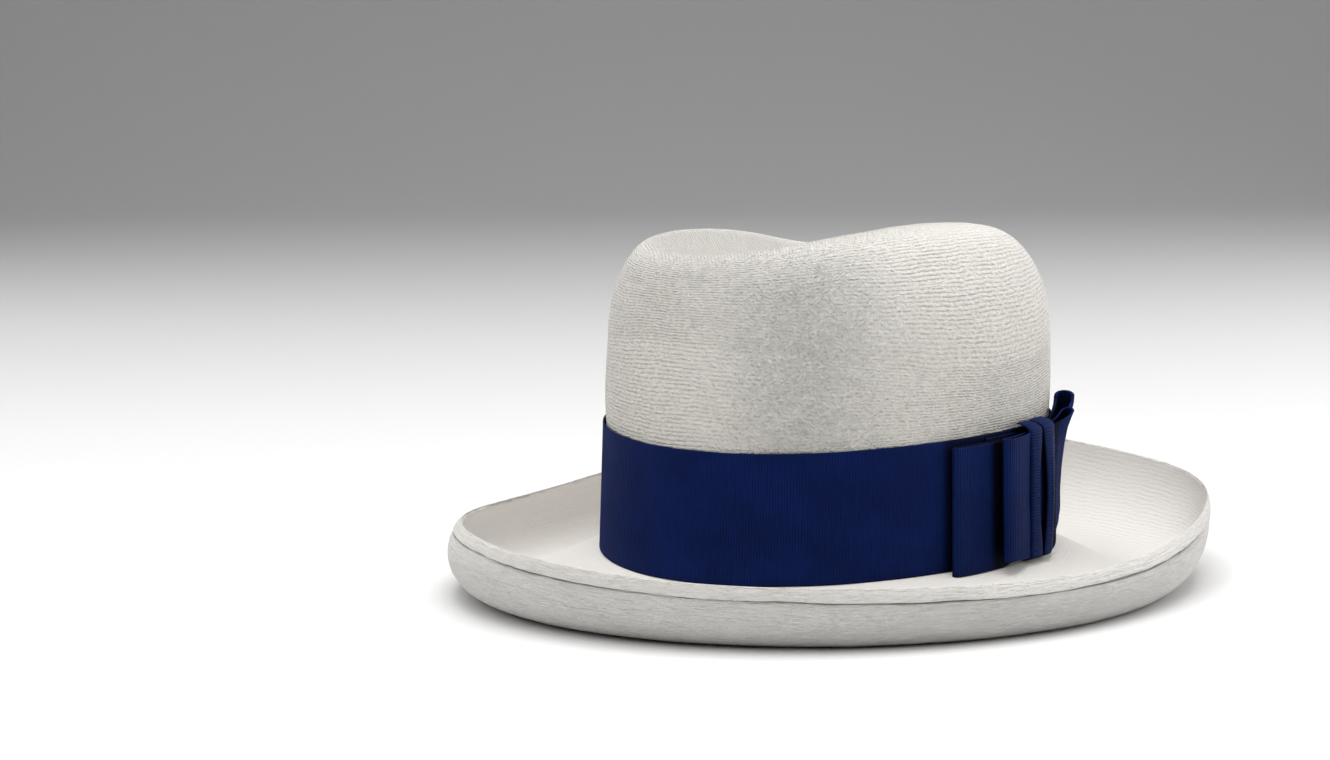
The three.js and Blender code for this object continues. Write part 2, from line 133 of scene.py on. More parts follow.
# -------------------------------------------------------------- mesh building
def make_mesh(name, verts, faces, smooth_shade=True):
    """faces is an (n, 4) array of quads, with -1 last for a triangle."""
    faces = np.asarray(faces)
    tri = faces[:, 3] < 0
    sizes = np.where(tri, 3, 4)
    loops = faces[faces >= 0].astype(np.int32)
    me = bpy.data.meshes.new(name)
    me.vertices.add(len(verts))
    me.vertices.foreach_set("co", np.asarray(verts, np.float32).ravel())
    me.loops.add(len(loops))
    me.loops.foreach_set("vertex_index", loops)
    me.polygons.add(len(faces))
    starts = np.r_[0, np.cumsum(sizes)[:-1]].astype(np.int32)
    me.polygons.foreach_set("loop_start", starts)
    me.polygons.foreach_set("loop_total", sizes.astype(np.int32))
    me.update(calc_edges=True)
    me.validate()
    me.polygons.foreach_set("use_smooth", np.full(len(faces), smooth_shade))
    ob = bpy.data.objects.new(name, me)
    bpy.context.scene.collection.objects.link(ob)
    return ob


def grid_faces(m, n, wrap_rows, wrap_cols):
    i = np.arange(m if wrap_rows else m - 1)[:, None]
    j = np.arange(n if wrap_cols else n - 1)[None, :]
    i2, j2 = (i + 1) % m, (j + 1) % n
    return np.stack(np.broadcast_arrays(i * n + j, i2 * n + j, i2 * n + j2, i * n + j2), -1).reshape(-1, 4)


def volume(v, f):
    t = np.concatenate([f[:, [0, 1, 2]], f[f[:, 3] >= 0][:, [0, 2, 3]]])
    a, b, c = v[t[:, 0]], v[t[:, 1]], v[t[:, 2]]
    return float((a * np.cross(b, c)).sum())


def face_out(v, f):
    if volume(v, f) < 0:
        f = f.copy()
        quad = f[:, 3] >= 0
        f[quad] = f[quad][:, ::-1]
        f[~quad] = f[~quad][:, [2, 1, 0, 3]]
    return f


def point_attr(ob, name, values, kind="FLOAT"):
    a = ob.data.attributes.new(name, kind, "POINT")
    values = np.asarray(values, np.float32)
    a.data.foreach_set("value" if kind == "FLOAT" else "vector", values.ravel())


def wrap_noise(u, v, seed, cells_u, scale_v):
    """Smooth value noise that closes on itself in u (0..1)."""
    g = np.random.default_rng(seed)
    V = v * scale_v
    nv = int(np.ceil(V.max() - V.min())) + 4
    tab = g.uniform(-1, 1, (nv, cells_u))
    V = V - V.min() + 1
    U = (u % 1) * cells_u
    i, j = np.floor(V).astype(int), np.floor(U).astype(int)
    fv, fu = V - i, U - j
    fv, fu = fv * fv * (3 - 2 * fv), fu * fu * (3 - 2 * fu)
    a = tab[i, j % cells_u] * (1 - fu) + tab[i, (j + 1) % cells_u] * fu
    b = tab[i + 1, j % cells_u] * (1 - fu) + tab[i + 1, (j + 1) % cells_u] * fu
    return a * (1 - fv) + b * fv


# ---------------------------------------------------------------- straw body
COLS = 640
TH = np.linspace(-math.pi / 2 * 3, math.pi / 2, COLS, endpoint=False)  # seam at the rear


def crown_row(th, kind, t):
    s, c = np.sin(th), np.cos(th)
    fr, bk, sd = np.clip(-s, 0, 1) ** 2, np.clip(s, 0, 1) ** 2, c * c
    X, Y = oval_point(HALF_W - TAPX, HALF_L - TAPY, th)
    rl = np.hypot(X, Y)
    z0 = K["shoulderSide"] * sd + K["shoulderFront"] * fr + K["shoulderBack"] * bk
    R = K["roundSide"] * sd + K["roundFront"] * fr + K["roundBack"] * bk
    tp = K["taperSide"] * sd + K["taperFront"] * fr + K["taperBack"] * bk
    if kind == "wall":
        zb = break_z(th) + BAND_H
        z = zb + (z0 - zb) * t
        nip = INSET * np.exp(-(z - zb) / 9)
        k = 1 - tp * t ** 1.5 / rl - nip / rl
        return np.stack([X * k, Y * k, z], -1)
    m = K["roundness"]
    if t <= 0.6:
        f = t / 0.6 * math.pi / 2
        d, q = R * (1 - math.cos(f) ** (2 / m)), math.sin(f) ** (2 / m)
    else:
        d, q = R + (rl - tp - R) * (t - 0.6) / 0.4, 1.0
    nip = INSET * np.exp(-(z0 - break_z(th) - BAND_H) / 9) * max(0.0, 1 - t * 4)
    k = np.maximum(0, 1 - (tp + d + nip) / rl)
    x, y = X * k, Y * k
    v = y / 90
    H = K["top"] + K["topY"] * v + K["topYY"] * v * v + K["topX"] * x / 50
    z = z0 + (H - z0) * q
    depth = (K["dent"] + K["dentY"] * v + K["dentYY"] * v * v) * (1 - K["dentFade"] * smooth((y - 25) / 60))
    w = K["dentW"] + K["dentWY"] * v
    u = (x - K["dentX"] - K["dentTurn"] * v) / w
    return np.stack([x, y, z - depth * np.exp(-u * u) * smooth((z - z0) / (H - z0))], -1)


def section(th, sink=0.75):
    R = curl_r(th)
    rc = brim_w(th) - R
    x, y, nx, ny = oval_frame(HALF_W, HALF_L, th)
    zc = -VALLEY[0] + VALLEY[1] * (x + nx * rc) + VALLEY[2] * (y + ny * rc) + R
    zs = break_z(th) - sink
    D = np.hypot(rc, zc - zs)
    sl = np.arcsin(R / D) - np.arctan2(zc - zs, rc)
    return dict(R=R, rc=rc, zc=zc, p=curl_a(th), zs=zs, sl=sl)


SEC = section(TH)
T2 = 0.45  # half of the straw's visible thickness


def slope_row(S, r, side):
    return ring(TH, r, S["zs"] - r * np.tan(S["sl"]) + side * T2 / np.cos(S["sl"]))


def curl_row(S, phi, off, th=None):
    th = TH if th is None else th
    R = S["R"] - off
    return ring(th, S["rc"] + R * np.sin(phi), S["zc"] - R * np.cos(phi))


def straw_rows():
    rows, zone = [], []  # zone: 0 crown, 1 upper brim, 2 outside of the curl and underside, 3 inside the crown
    for t in np.linspace(0.985, 0.62, 52):
        rows.append(crown_row(TH, "top", t)); zone.append(0)
    for t in np.linspace(0.6, 0.0, 46):
        rows.append(crown_row(TH, "top", t)); zone.append(0)
    for t in np.linspace(1, 0, 20)[1:]:
        rows.append(crown_row(TH, "wall", t)); zone.append(0)
    for k in (0.9, 0.7, 0.5, 0.3, 0.12):
        rows.append(ring(TH, -INSET, break_z(TH) + BAND_H * k, k)); zone.append(0)
    S = SEC
    z_c = (S["zs"] + INSET * np.tan(S["sl"]) + T2 / np.cos(S["sl"]))
    for dr, dz in ((0, 1.3), (0.12, 0.62), (0.42, 0.16), (0.9, -0.12)):
        r = -INSET + dr
        rows.append(ring(TH, r, z_c - (r + INSET) * np.tan(S["sl"]) + dz * (1 if dr < 0.9 else 0.0) + 0.0)); zone.append(1)
    for t in np.linspace(0.06, 0.96, 26):
        r1 = S["rc"] + (S["R"] - T2) * np.sin(-S["sl"])
        rows.append(slope_row(S, r1 * t, 1)); zone.append(1)
    for t in np.linspace(0, 1, 72):
        rows.append(curl_row(S, -S["sl"] + (S["p"] + S["sl"]) * t, T2)); zone.append(1)
    # the rim's edge is a rounded fold
    for a in np.linspace(0, math.pi, 9)[1:-1]:
        phi = S["p"] + np.sin(a) * T2 * 1.15 / S["R"]
        rows.append(curl_row(S, phi, T2 * math.cos(a))); zone.append(2)
    for t in np.linspace(1, 0, 110):
        rows.append(curl_row(S, -S["sl"] + (S["p"] + S["sl"]) * t, -T2)); zone.append(2)
    for t in np.linspace(0.96, 0.06, 14):
        r1 = S["rc"] + (S["R"] + T2) * np.sin(-S["sl"])
        rows.append(slope_row(S, r1 * t - (INSET + 2 * T2) * (1 - t), -1)); zone.append(2)
    rows.append(ring(TH, -INSET - 2 * T2, z_c + 1.2)); zone.append(3)
    return rows, zone


def inward(rows, centre, dist):
    """The rows of a surface moved inwards by dist along its normals."""
    A = np.stack(rows)
    du = np.empty_like(A)
    du[1:-1] = A[2:] - A[:-2]
    du[0] = A[1] - centre
    du[-1] = A[-1] - A[-2]
    dv = np.roll(A, -1, 1) - np.roll(A, 1, 1)
    N = np.cross(du, dv)
    N /= np.linalg.norm(N, axis=2, keepdims=True)
    mid = A[:, :, :] - np.array([0, 0, 60.0])
    if (N * mid).sum() < 0:
        N = -N
    return A - N * dist


rows, zone = straw_rows()
n_crown = 52 + 46 + 19 + 5
apex = crown_row(TH, "top", 1.0)[:1].mean(0)
apex = np.array([0, 0, apex[2]])
inner = inward(rows[:n_crown], apex, 2 * T2)[::4][::-1]
for r in inner:
    rows.append(r); zone.append(3)
A = np.stack(rows)
zone = np.array(zone)
m, n = A.shape[:2]

# path length down the rows, for the weave
step = np.linalg.norm(np.diff(A, axis=0), axis=2).mean(1)
vlen = np.r_[0, np.cumsum(step)] + 2.0
U = (np.arange(COLS) / COLS)[None, :] * np.ones((m, 1))
V = vlen[:, None] * np.ones((1, n))

# hand-made unevenness: gentle swells over the crown and brim, and the coarse
# straw rows that run round the outside of the curl
du = np.roll(A, -1, 1) - np.roll(A, 1, 1)
dr = np.gradient(A, axis=0)
N = np.cross(dr, du)
N /= np.linalg.norm(N, axis=2, keepdims=True) + 1e-9
if (N[20:60] * (A[20:60] - [0, 0, 60])).sum() < 0:
    N = -N
zc = zone[:, None]
swell = 0.22 * wrap_noise(U, V, 3, 14, 1 / 38) + 0.10 * wrap_noise(U, V, 4, 36, 1 / 16)
swell *= np.where(zc == 3, 0.3, 1.0)
d = swell.copy()
in_curl = (zc == 2)
rim_rows = np.where(zone == 2)[0][7:117]
curl_t = np.zeros(m)
curl_t[rim_rows] = np.linspace(1, 0, 110)
below_rim = np.zeros((m, n)) + 99.0
below_rim[rim_rows] = ((1 - np.linspace(1, 0, 110))[:, None] * ((SEC["p"] + SEC["sl"]) * SEC["R"])[None])
wob = 0.35 * wrap_noise(U, V, 8, 70, 1 / 400.0)
rowp = 1.75
coarse = np.sin(TAU * (below_rim + wob + 0.25 * wrap_noise(U, V, 5, 150, 1 / 5)) / rowp)
amp = np.where(in_curl, smooth((below_rim - 4.4) / 1.0) * 0.085, 0)
amp = amp * (0.6 + 0.5 * wrap_noise(U, V, 6, 90, 1 / 2.2))
d += np.where(in_curl, coarse * amp + smooth((below_rim - 4.4) / 1) * 0.085 * wrap_noise(U, V, 7, 260, 1 / 1.1), 0)
groove_at = 4.6 + 0.55 * wrap_noise(U, V, 9, 30, 1 / 900.0) + 0.30 * wrap_noise(U, V, 10, 110, 1 / 900.0)
d += np.where(in_curl, -0.34 * np.exp(-((below_rim - groove_at) / 0.42) ** 2), 0)
A = A + N * d[..., None]

verts = np.concatenate([A.reshape(-1, 3), apex[None], (apex - [0, 0, 2 * T2])[None]])
faces = grid_faces(m, n, False, True)
j = np.arange(n)
cap0 = np.stack([np.full(n, m * n), j, (j + 1) % n, np.full(n, -1)], -1)
cap1 = np.stack([np.full(n, m * n + 1), (m - 1) * n + (j + 1) % n, (m - 1) * n + j, np.full(n, -1)], -1)
faces = np.concatenate([faces, cap0, cap1])
faces = face_out(verts, faces)
verts = settle(verts)
verts[:, 2] = np.maximum(verts[:, 2], 0.00012)
straw = make_mesh("straw_weave", verts, faces)


def loop_uv(ob, name, u, v, cols_wrap=1.0):
    """UV from per-vertex u (0..1 round the hat, times its scale) and v, with the seam closed per corner."""
    me = ob.data
    uv = me.uv_layers.new(name=name)
    li = np.empty(len(me.loops), np.int32)
    me.loops.foreach_get("vertex_index", li)
    lt = np.empty(len(me.polygons), np.int32)
    me.polygons.foreach_get("loop_total", lt)
    face = np.repeat(np.arange(len(lt)), lt)
    uu, vv = u[li], v[li]
    mx = np.zeros(len(lt))
    np.maximum.at(mx, face, uu)
    uu = np.where((mx[face] - uu) > 0.5, uu + 1.0, uu)
    uv.data.foreach_set("uv", np.stack([uu * cols_wrap, vv], -1).astype(np.float32).ravel())


up = np.r_[U.ravel(), 0, 0]
vp = np.r_[V.ravel(), 0, V.max()]
loop_uv(straw, "weave", up, vp, 600.0)  # u in mm round a 600 mm oval, v in mm from the crown's centre
nth = TH[None, :] * np.ones((m, 1))
xn, yn, nx, ny = oval_frame(HALF_W, HALF_L, nth)
na = np.arctan2(ny, nx)


def near_angle(a, deg, width):
    dd = (a - math.radians(deg) + math.pi) % TAU - math.pi
    return np.exp(-(dd / math.radians(width)) ** 2)


# the cross-woven patches on the crown's walls and its middle; the material also colours the wall patches darker, as
# painted shade
criss = near_angle(na, -54, 27) + 0.85 * near_angle(na, 126, 30) + 0.25 * near_angle(na, 40, 16) + 0.25 * near_angle(na, -148, 16)
criss = criss * np.where(zc == 0, 1, 0) * smooth((V - 60) / 40)
criss = np.clip(criss + np.where(zc == 0, 1 - smooth((V - 55) / 35), 0), 0, 1)
point_attr(straw, "criss", np.r_[criss.ravel(), 1, 1])
# the crown's top, which has its own square weave and, in the material, a painted highlight
point_attr(straw, "top", np.r_[(np.where(zc == 0, 1 - smooth((V - 58) / 30), 0)).ravel(), 1, 0])
# the curl's outside below the edge layer and the underside: long fibres in the material, and a paler colour there that
# is painted light
point_attr(straw, "curl", np.r_[(np.where(in_curl, smooth((below_rim - 4.2) / 0.8), 0)).ravel(), 0, 0])
point_attr(straw, "brim", np.r_[(np.where(zc == 1, 1.0, 0)[:, :] * np.ones((1, n))).ravel(), 0, 0])
# the groove just under the edge layer, where the material paints a dark shadow line
groove_painted_shadow = np.exp(-((below_rim - groove_at) / 0.36) ** 2)
point_attr(straw, "groove_painted_shadow", np.r_[np.where(in_curl, groove_painted_shadow, 0).ravel(), 0, 0])


# ----------------------------------------------------------------- materials
def new_mat(name):
    m_ = bpy.data.materials.new(name)
    m_.use_nodes = True
    nt = m_.node_tree
    nt.nodes.clear()
    out = nt.nodes.new("ShaderNodeOutputMaterial")
    bsdf = nt.nodes.new("ShaderNodeBsdfPrincipled")
    nt.links.new(bsdf.outputs[0], out.inputs[0])
    return m_, nt, bsdf


class G:
    """Small helpers for building a node graph."""

    def __init__(self, nt):
        self.nt = nt

    def node(self, kind, **kw):
        nd = self.nt.nodes.new(kind)
        for k_, v_ in kw.items():
            setattr(nd, k_, v_)
        return nd

    def put(self, sock, val):
        if isinstance(val, bpy.types.NodeSocket):
            self.nt.links.new(val, sock)
        else:
            sock.default_value = val

    def math(self, op, a, b=0.0, c=0.0, clamp=False):
        nd = self.node("ShaderNodeMath", operation=op, use_clamp=clamp)
        self.put(nd.inputs[0], a)
        if len(nd.inputs) > 1:
            self.put(nd.inputs[1], b)
        if len(nd.inputs) > 2:
            self.put(nd.inputs[2], c)
        return nd.outputs[0]

    def attr(self, name, out="Fac"):
        return self.node("ShaderNodeAttribute", attribute_name=name).outputs[out]

    def noise(self, vec, scale, detail=2.0, rough=0.5, dim="3D"):
        nd = self.node("ShaderNodeTexNoise", noise_dimensions=dim)
        self.put(nd.inputs["Vector"], vec)
        nd.inputs["Scale"].default_value = scale
        nd.inputs["Detail"].default_value = detail
        nd.inputs["Roughness"].default_value = rough
        return nd.outputs["Fac"]

    def voronoi(self, vec, scale=1.0, rand=1.0, feature="F1", out="Distance", dim="3D"):
        nd = self.node("ShaderNodeTexVoronoi", feature=feature, voronoi_dimensions=dim)
        self.put(nd.inputs["Vector"], vec)
        nd.inputs["Scale"].default_value = scale
        nd.inputs["Randomness"].default_value = rand
        return nd.outputs[out]

    def mapping(self, vec, loc=(0, 0, 0), rot=(0, 0, 0), scale=(1, 1, 1)):
        nd = self.node("ShaderNodeMapping")
        self.put(nd.inputs["Vector"], vec)
        nd.inputs["Location"].default_value = loc
        nd.inputs["Rotation"].default_value = rot
        nd.inputs["Scale"].default_value = scale
        return nd.outputs[0]

    def combine(self, x, y, z=0.0):
        nd = self.node("ShaderNodeCombineXYZ")
        for i_, v_ in enumerate((x, y, z)):
            self.put(nd.inputs[i_], v_)
        return nd.outputs[0]

    def sep(self, vec):
        nd = self.node("ShaderNodeSeparateXYZ")
        self.put(nd.inputs[0], vec)
        return nd.outputs

    def mix(self, fac, a, b):
        nd = self.node("ShaderNodeMix", data_type="FLOAT")
        self.put(nd.inputs[0], fac)
        self.put(nd.inputs[2], a)
        self.put(nd.inputs[3], b)
        return nd.outputs[0]

    def mixc(self, fac, a, b):
        nd = self.node("ShaderNodeMix", data_type="RGBA")
        self.put(nd.inputs[0], fac)
        self.put(nd.inputs[6], a if isinstance(a, bpy.types.NodeSocket) else (*a, 1))
        self.put(nd.inputs[7], b if isinstance(b, bpy.types.NodeSocket) else (*b, 1))
        return nd.outputs[2]

    def ramp(self, fac, lo, hi, a=0.0, b=1.0):
        nd = self.node("ShaderNodeMapRange", interpolation_type="SMOOTHSTEP")
        self.put(nd.inputs["Value"], fac)
        nd.inputs["From Min"].default_value = lo
        nd.inputs["From Max"].default_value = hi
        nd.inputs["To Min"].default_value = a
        nd.inputs["To Max"].default_value = b
        return nd.outputs["Result"]

    def bump(self, height, dist, strength=1.0, normal=None):
        nd = self.node("ShaderNodeBump")
        nd.inputs["Strength"].default_value = strength
        nd.inputs["Distance"].default_value = dist
        self.put(nd.inputs["Height"], height)
        if normal is not None:
            self.put(nd.inputs["Normal"], normal)
        return nd.outputs[0]


def straw_material(name="toquilla_straw"):
    m_, nt, b = new_mat(name)
    g = G(nt)
    uv = g.node("ShaderNodeUVMap", uv_map="weave").outputs[0]
    obj = g.node("ShaderNodeTexCoord").outputs["Object"]
    mm = g.mapping(obj, scale=(1000, 1000, 1000))
    # slow wander of the rows
    wander = g.noise(g.mapping(mm, scale=(0.05, 0.05, 0.05)), 1.0, 2.0)
    wob = g.noise(g.mapping(mm, scale=(0.30, 0.30, 0.30)), 1.0, 3.0)
    u, v = g.sep(uv)[0], g.sep(uv)[1]
    v = g.math("ADD", v, g.math("MULTIPLY_ADD", wander, 2.4, -1.2))
    v = g.math("ADD", v, g.math("MULTIPLY_ADD", wob, 0.5, -0.25))
    # rows of short straws, each swelling and sinking on its own
    rowh = g.math("ABSOLUTE", g.math("SINE", g.math("MULTIPLY", v, math.pi / 1.4)))
    strokes = g.noise(g.combine(g.math("MULTIPLY", u, 0.42), g.math("MULTIPLY", v, 1.15), 0.0), 1.0, 2.0, 0.6)
    strokes = g.ramp(strokes, 0.30, 0.70)
    patch = g.ramp(g.noise(g.mapping(mm, scale=(0.11, 0.11, 0.14)), 1.0, 3.0, 0.6), 0.34, 0.68, 0.55, 1.0)
    amp = g.noise(g.mapping(mm, scale=(0.8, 0.8, 1.6)), 1.0, 3.0, 0.6)
    rows_h = g.math("MULTIPLY_ADD", g.math("MULTIPLY", rowh, g.math("MULTIPLY_ADD", amp, 0.9, 0.15)), 0.58, g.math("MULTIPLY", strokes, 0.42))
    rows_h = g.math("MULTIPLY", rows_h, g.math("MULTIPLY_ADD", patch, 0.65, 0.35))
    # crossings on the bias: short grains lying along two diagonals, in patches
    d1 = g.math("ADD", g.math("MULTIPLY", u, 0.80), g.math("MULTIPLY", v, 0.60))
    d2 = g.math("SUBTRACT", g.math("MULTIPLY", v, 0.80), g.math("MULTIPLY", u, 0.60))
    e1 = g.math("SUBTRACT", g.math("MULTIPLY", u, 0.80), g.math("MULTIPLY", v, 0.60))
    e2 = g.math("ADD", g.math("MULTIPLY", v, 0.80), g.math("MULTIPLY", u, 0.60))
    g1 = g.noise(g.combine(g.math("MULTIPLY", d1, 0.36), g.math("MULTIPLY", d2, 0.95), 0.0), 1.0, 2.0, 0.65)
    g2 = g.noise(g.combine(g.math("MULTIPLY", e1, 0.36), g.math("MULTIPLY", e2, 0.95), 7.0), 1.0, 2.0, 0.65)
    blotch = g.ramp(g.noise(g.mapping(mm, scale=(0.22, 0.22, 0.22)), 1.0, 2.0), 0.44, 0.56)
    pits = g.ramp(g.noise(g.mapping(mm, scale=(0.55, 0.55, 0.75)), 1.0, 3.0, 0.7), 0.34, 0.56)
    criss_h = g.ramp(g.mix(blotch, g1, g2), 0.30, 0.70)
    criss_h = g.math("MULTIPLY_ADD", criss_h, 0.75, g.math("MULTIPLY", rowh, 0.16))
    criss_h = g.math("MULTIPLY", g.math("MULTIPLY_ADD", pits, 0.45, criss_h), g.math("MULTIPLY_ADD", patch, 0.55, 0.45))
    # the crown's top: straws laid square to each other
    px, py, pz = g.sep(mm)
    wx = g.math("ABSOLUTE", g.math("SINE", g.math("MULTIPLY", g.math("ADD", g.math("ADD", px, py), g.math("MULTIPLY", wob, 1.2)), math.pi / 1.7)))
    wy = g.math("ABSOLUTE", g.math("SINE", g.math("MULTIPLY", g.math("ADD", g.math("SUBTRACT", px, py), g.math("MULTIPLY", wob, 1.2)), math.pi / 1.7)))
    top_h = g.math("MULTIPLY", g.math("MULTIPLY", wx, wy), g.math("MULTIPLY_ADD", amp, 0.9, 0.4))
    weave = g.mix(g.attr("criss"), rows_h, criss_h)
    weave = g.mix(g.attr("top"), weave, g.math("MULTIPLY_ADD", top_h, 0.8, 0.1))
    # outside of the curl: long flat fibres running round
    fib = g.ramp(g.noise(g.combine(g.math("MULTIPLY", u, 0.10), g.math("MULTIPLY", v, 0.85), 0.0), 1.0, 3.0, 0.65), 0.30, 0.70)
    fib2 = g.ramp(g.noise(g.combine(g.math("MULTIPLY", u, 0.45), g.math("MULTIPLY", v, 1.2), 5.0), 1.0, 3.0, 0.65), 0.30, 0.70)
    curl_h = g.math("MULTIPLY_ADD", fib, 0.55, g.math("MULTIPLY_ADD", fib2, 0.40, 0.22))
    weave = g.mix(g.attr("curl"), weave, curl_h)
    brim = g.attr("brim")
    weave = g.mix(g.math("MULTIPLY", brim, 0.84), weave, 0.6)
    groove_shadow_fac = g.attr("groove_painted_shadow")
    fine = g.noise(g.mapping(mm, scale=(2.2, 2.2, 2.2)), 1.0, 3.0, 0.6)
    height = g.math("ADD", weave, g.math("MULTIPLY", fine, 0.22))
    # colour: bleached cream, each straw a little different; painted shade on the weave's low places, on the cross-woven
    # patches of the crown and in the groove under the edge layer, and painted light on the curl's outside and the
    # crown's top
    cellc = g.node("ShaderNodeTexVoronoi", feature="F1")
    g.put(cellc.inputs["Vector"], g.combine(g.math("MULTIPLY", u, 0.22), g.math("MULTIPLY", v, 0.8), 0.0))
    cellc.inputs["Scale"].default_value = 1.0
    tone = g.sep(cellc.outputs["Color"])[0]
    big = g.noise(g.mapping(mm, scale=(0.03, 0.03, 0.03)), 1.0, 3.0)
    col = g.mixc(g.ramp(big, 0.3, 0.7), (0.83, 0.80, 0.752), (0.80, 0.775, 0.727))
    # painted shade: the cross-woven patches, away from the top, are coloured darker
    col = g.mixc(g.math("SUBTRACT", g.attr("criss"), g.attr("top"), clamp=True), col, (0.735, 0.718, 0.672))
    # painted light: the outside of the curl and the underside are coloured paler than the crown
    pale_painted_light = g.math("MAXIMUM", g.attr("brim"), g.attr("curl"))
    col = g.mixc(pale_painted_light, col, (0.955, 0.928, 0.89))
    col = g.mixc(g.attr("brim"), col, (0.835, 0.81, 0.775))
    # painted highlight: the crown's top is coloured paler
    col = g.mixc(g.attr("top"), col, (0.90, 0.875, 0.83))
    col = g.mixc(g.math("MULTIPLY", tone, 0.26), col, (0.84, 0.80, 0.735))
    # painted shade: the weave's low places are coloured darker
    col = g.mixc(g.ramp(weave, 0.05, 0.55, 0.62, 0.0), col, (0.43, 0.40, 0.345))
    dirt = g.ramp(g.noise(g.mapping(mm, scale=(0.5, 0.5, 0.9)), 1.0, 4.0, 0.7), 0.62, 0.78, 0.0, 0.22)
    col = g.mixc(dirt, col, (0.66, 0.60, 0.49))
    # painted shadow: a dark line in the groove under the edge layer
    col = g.mixc(g.math("MULTIPLY", groove_shadow_fac, 0.95), col, (0.17, 0.14, 0.115))
    g.put(b.inputs["Base Color"], col)
    g.put(b.inputs["Roughness"], g.math("MULTIPLY_ADD", weave, -0.10, 0.66))
    b.inputs["Specular IOR Level"].default_value = 0.35
    b.inputs["Sheen Weight"].default_value = 0.12
    b.inputs["Sheen Roughness"].default_value = 0.5
    g.put(b.inputs["Normal"], g.bump(height, 0.0015, 1.0))
    return m_


mat_straw = straw_material()
straw.data.materials.append(mat_straw)
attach(straw, "root")
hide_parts("straw_body")

# ------------------------------------------------------- ring-shaped pieces
def ring_piece(name, rows, us, vs, closed=True, cols_th=None):
    """A closed tube whose rows run round the hat; us and vs go to its UVs in mm."""
    A_ = np.stack(rows)
    m_, n_ = A_.shape[:2]
    v_ = A_.reshape(-1, 3)
    f_ = face_out(v_, grid_faces(m_, n_, True, True))
    ob = make_mesh(name, settle(v_), f_)
    u_ = np.broadcast_to(us, (m_, n_)).ravel()
    w_ = np.broadcast_to(np.asarray(vs)[:, None], (m_, n_)).ravel()
    loop_uv(ob, "weave", u_, w_, PERIM)
    return ob


def strip_piece(name, grid, us, vs, t_in=None):
    """A closed shell from a (sections, ring-of-points) grid, capped at its two ends."""
    A_ = np.asarray(grid)
    m_, n_ = A_.shape[:2]
    v_ = A_.reshape(-1, 3)
    f_ = grid_faces(m_, n_, False, True)
    c0, c1 = A_[0].mean(0), A_[-1].mean(0)
    half = n_ // 2
    i_ = np.arange(half - 1)
    # end caps joined straight across, as a ribbon's cut end is
    cap_a = np.stack([i_, i_ + 1, n_ - 2 - i_, n_ - 1 - i_], -1)
    cap_b = (m_ - 1) * n_ + cap_a[:, ::-1]
    f_ = np.concatenate([f_, cap_a, cap_b])
    tri = np.concatenate([f_[:, [0, 1, 2]], f_[:, [0, 2, 3]]])
    a_, b_, c_ = v_[tri[:, 0]], v_[tri[:, 1]], v_[tri[:, 2]]
    # consistent winding: caps follow the sides
    if float((a_ * np.cross(b_, c_)).sum()) < 0:
        f_ = f_[:, ::-1]
    ob = make_mesh(name, settle(v_), f_)
    me = ob.data
    uv = me.uv_layers.new(name="weave")
    li = np.empty(len(me.loops), np.int32)
    me.loops.foreach_get("vertex_index", li)
    uu_l = np.broadcast_to(np.asarray(us)[:, None], (m_, n_)).ravel()[li]
    vv_l = np.broadcast_to(np.asarray(vs)[None, :], (m_, n_)).ravel()[li]
    uv.data.foreach_set("uv", np.stack([uu_l, vv_l], -1).astype(np.float32).ravel())
    return ob


def seam_ok(ob):
    """Consistent normals on a closed shell."""
    import bmesh
    bm = bmesh.new()
    bm.from_mesh(ob.data)
    bmesh.ops.recalc_face_normals(bm, faces=bm.faces)
    bm.to_mesh(ob.data)
    bm.free()


RIB = 1.15  # pitch of the grosgrain's ribs


def across(w, edge=(0.0, 0.07, 0.22, 0.5, 0.95), inner_step=2.2):
    """Positions over a ribbon's width, close together at its selvedges."""
    e = np.array(edge)
    nn = max(3, int(round((w - 2 * e[-1]) / inner_step)) + 1)
    return np.r_[e[:-1], np.linspace(e[-1], w - e[-1], nn), w - e[:-1][::-1]]


def selvedge(z, w, t):
    """Half thickness over the width: rounded off at the woven edges."""
    d_ = np.minimum(z, w - z)
    return t / 2 * np.sqrt(np.clip(1 - (1 - np.clip(d_ / 0.32, 0, 1)) ** 2, 0.06, 1)) + 0.05 * np.exp(-((d_ - 0.75) / 0.35) ** 2)


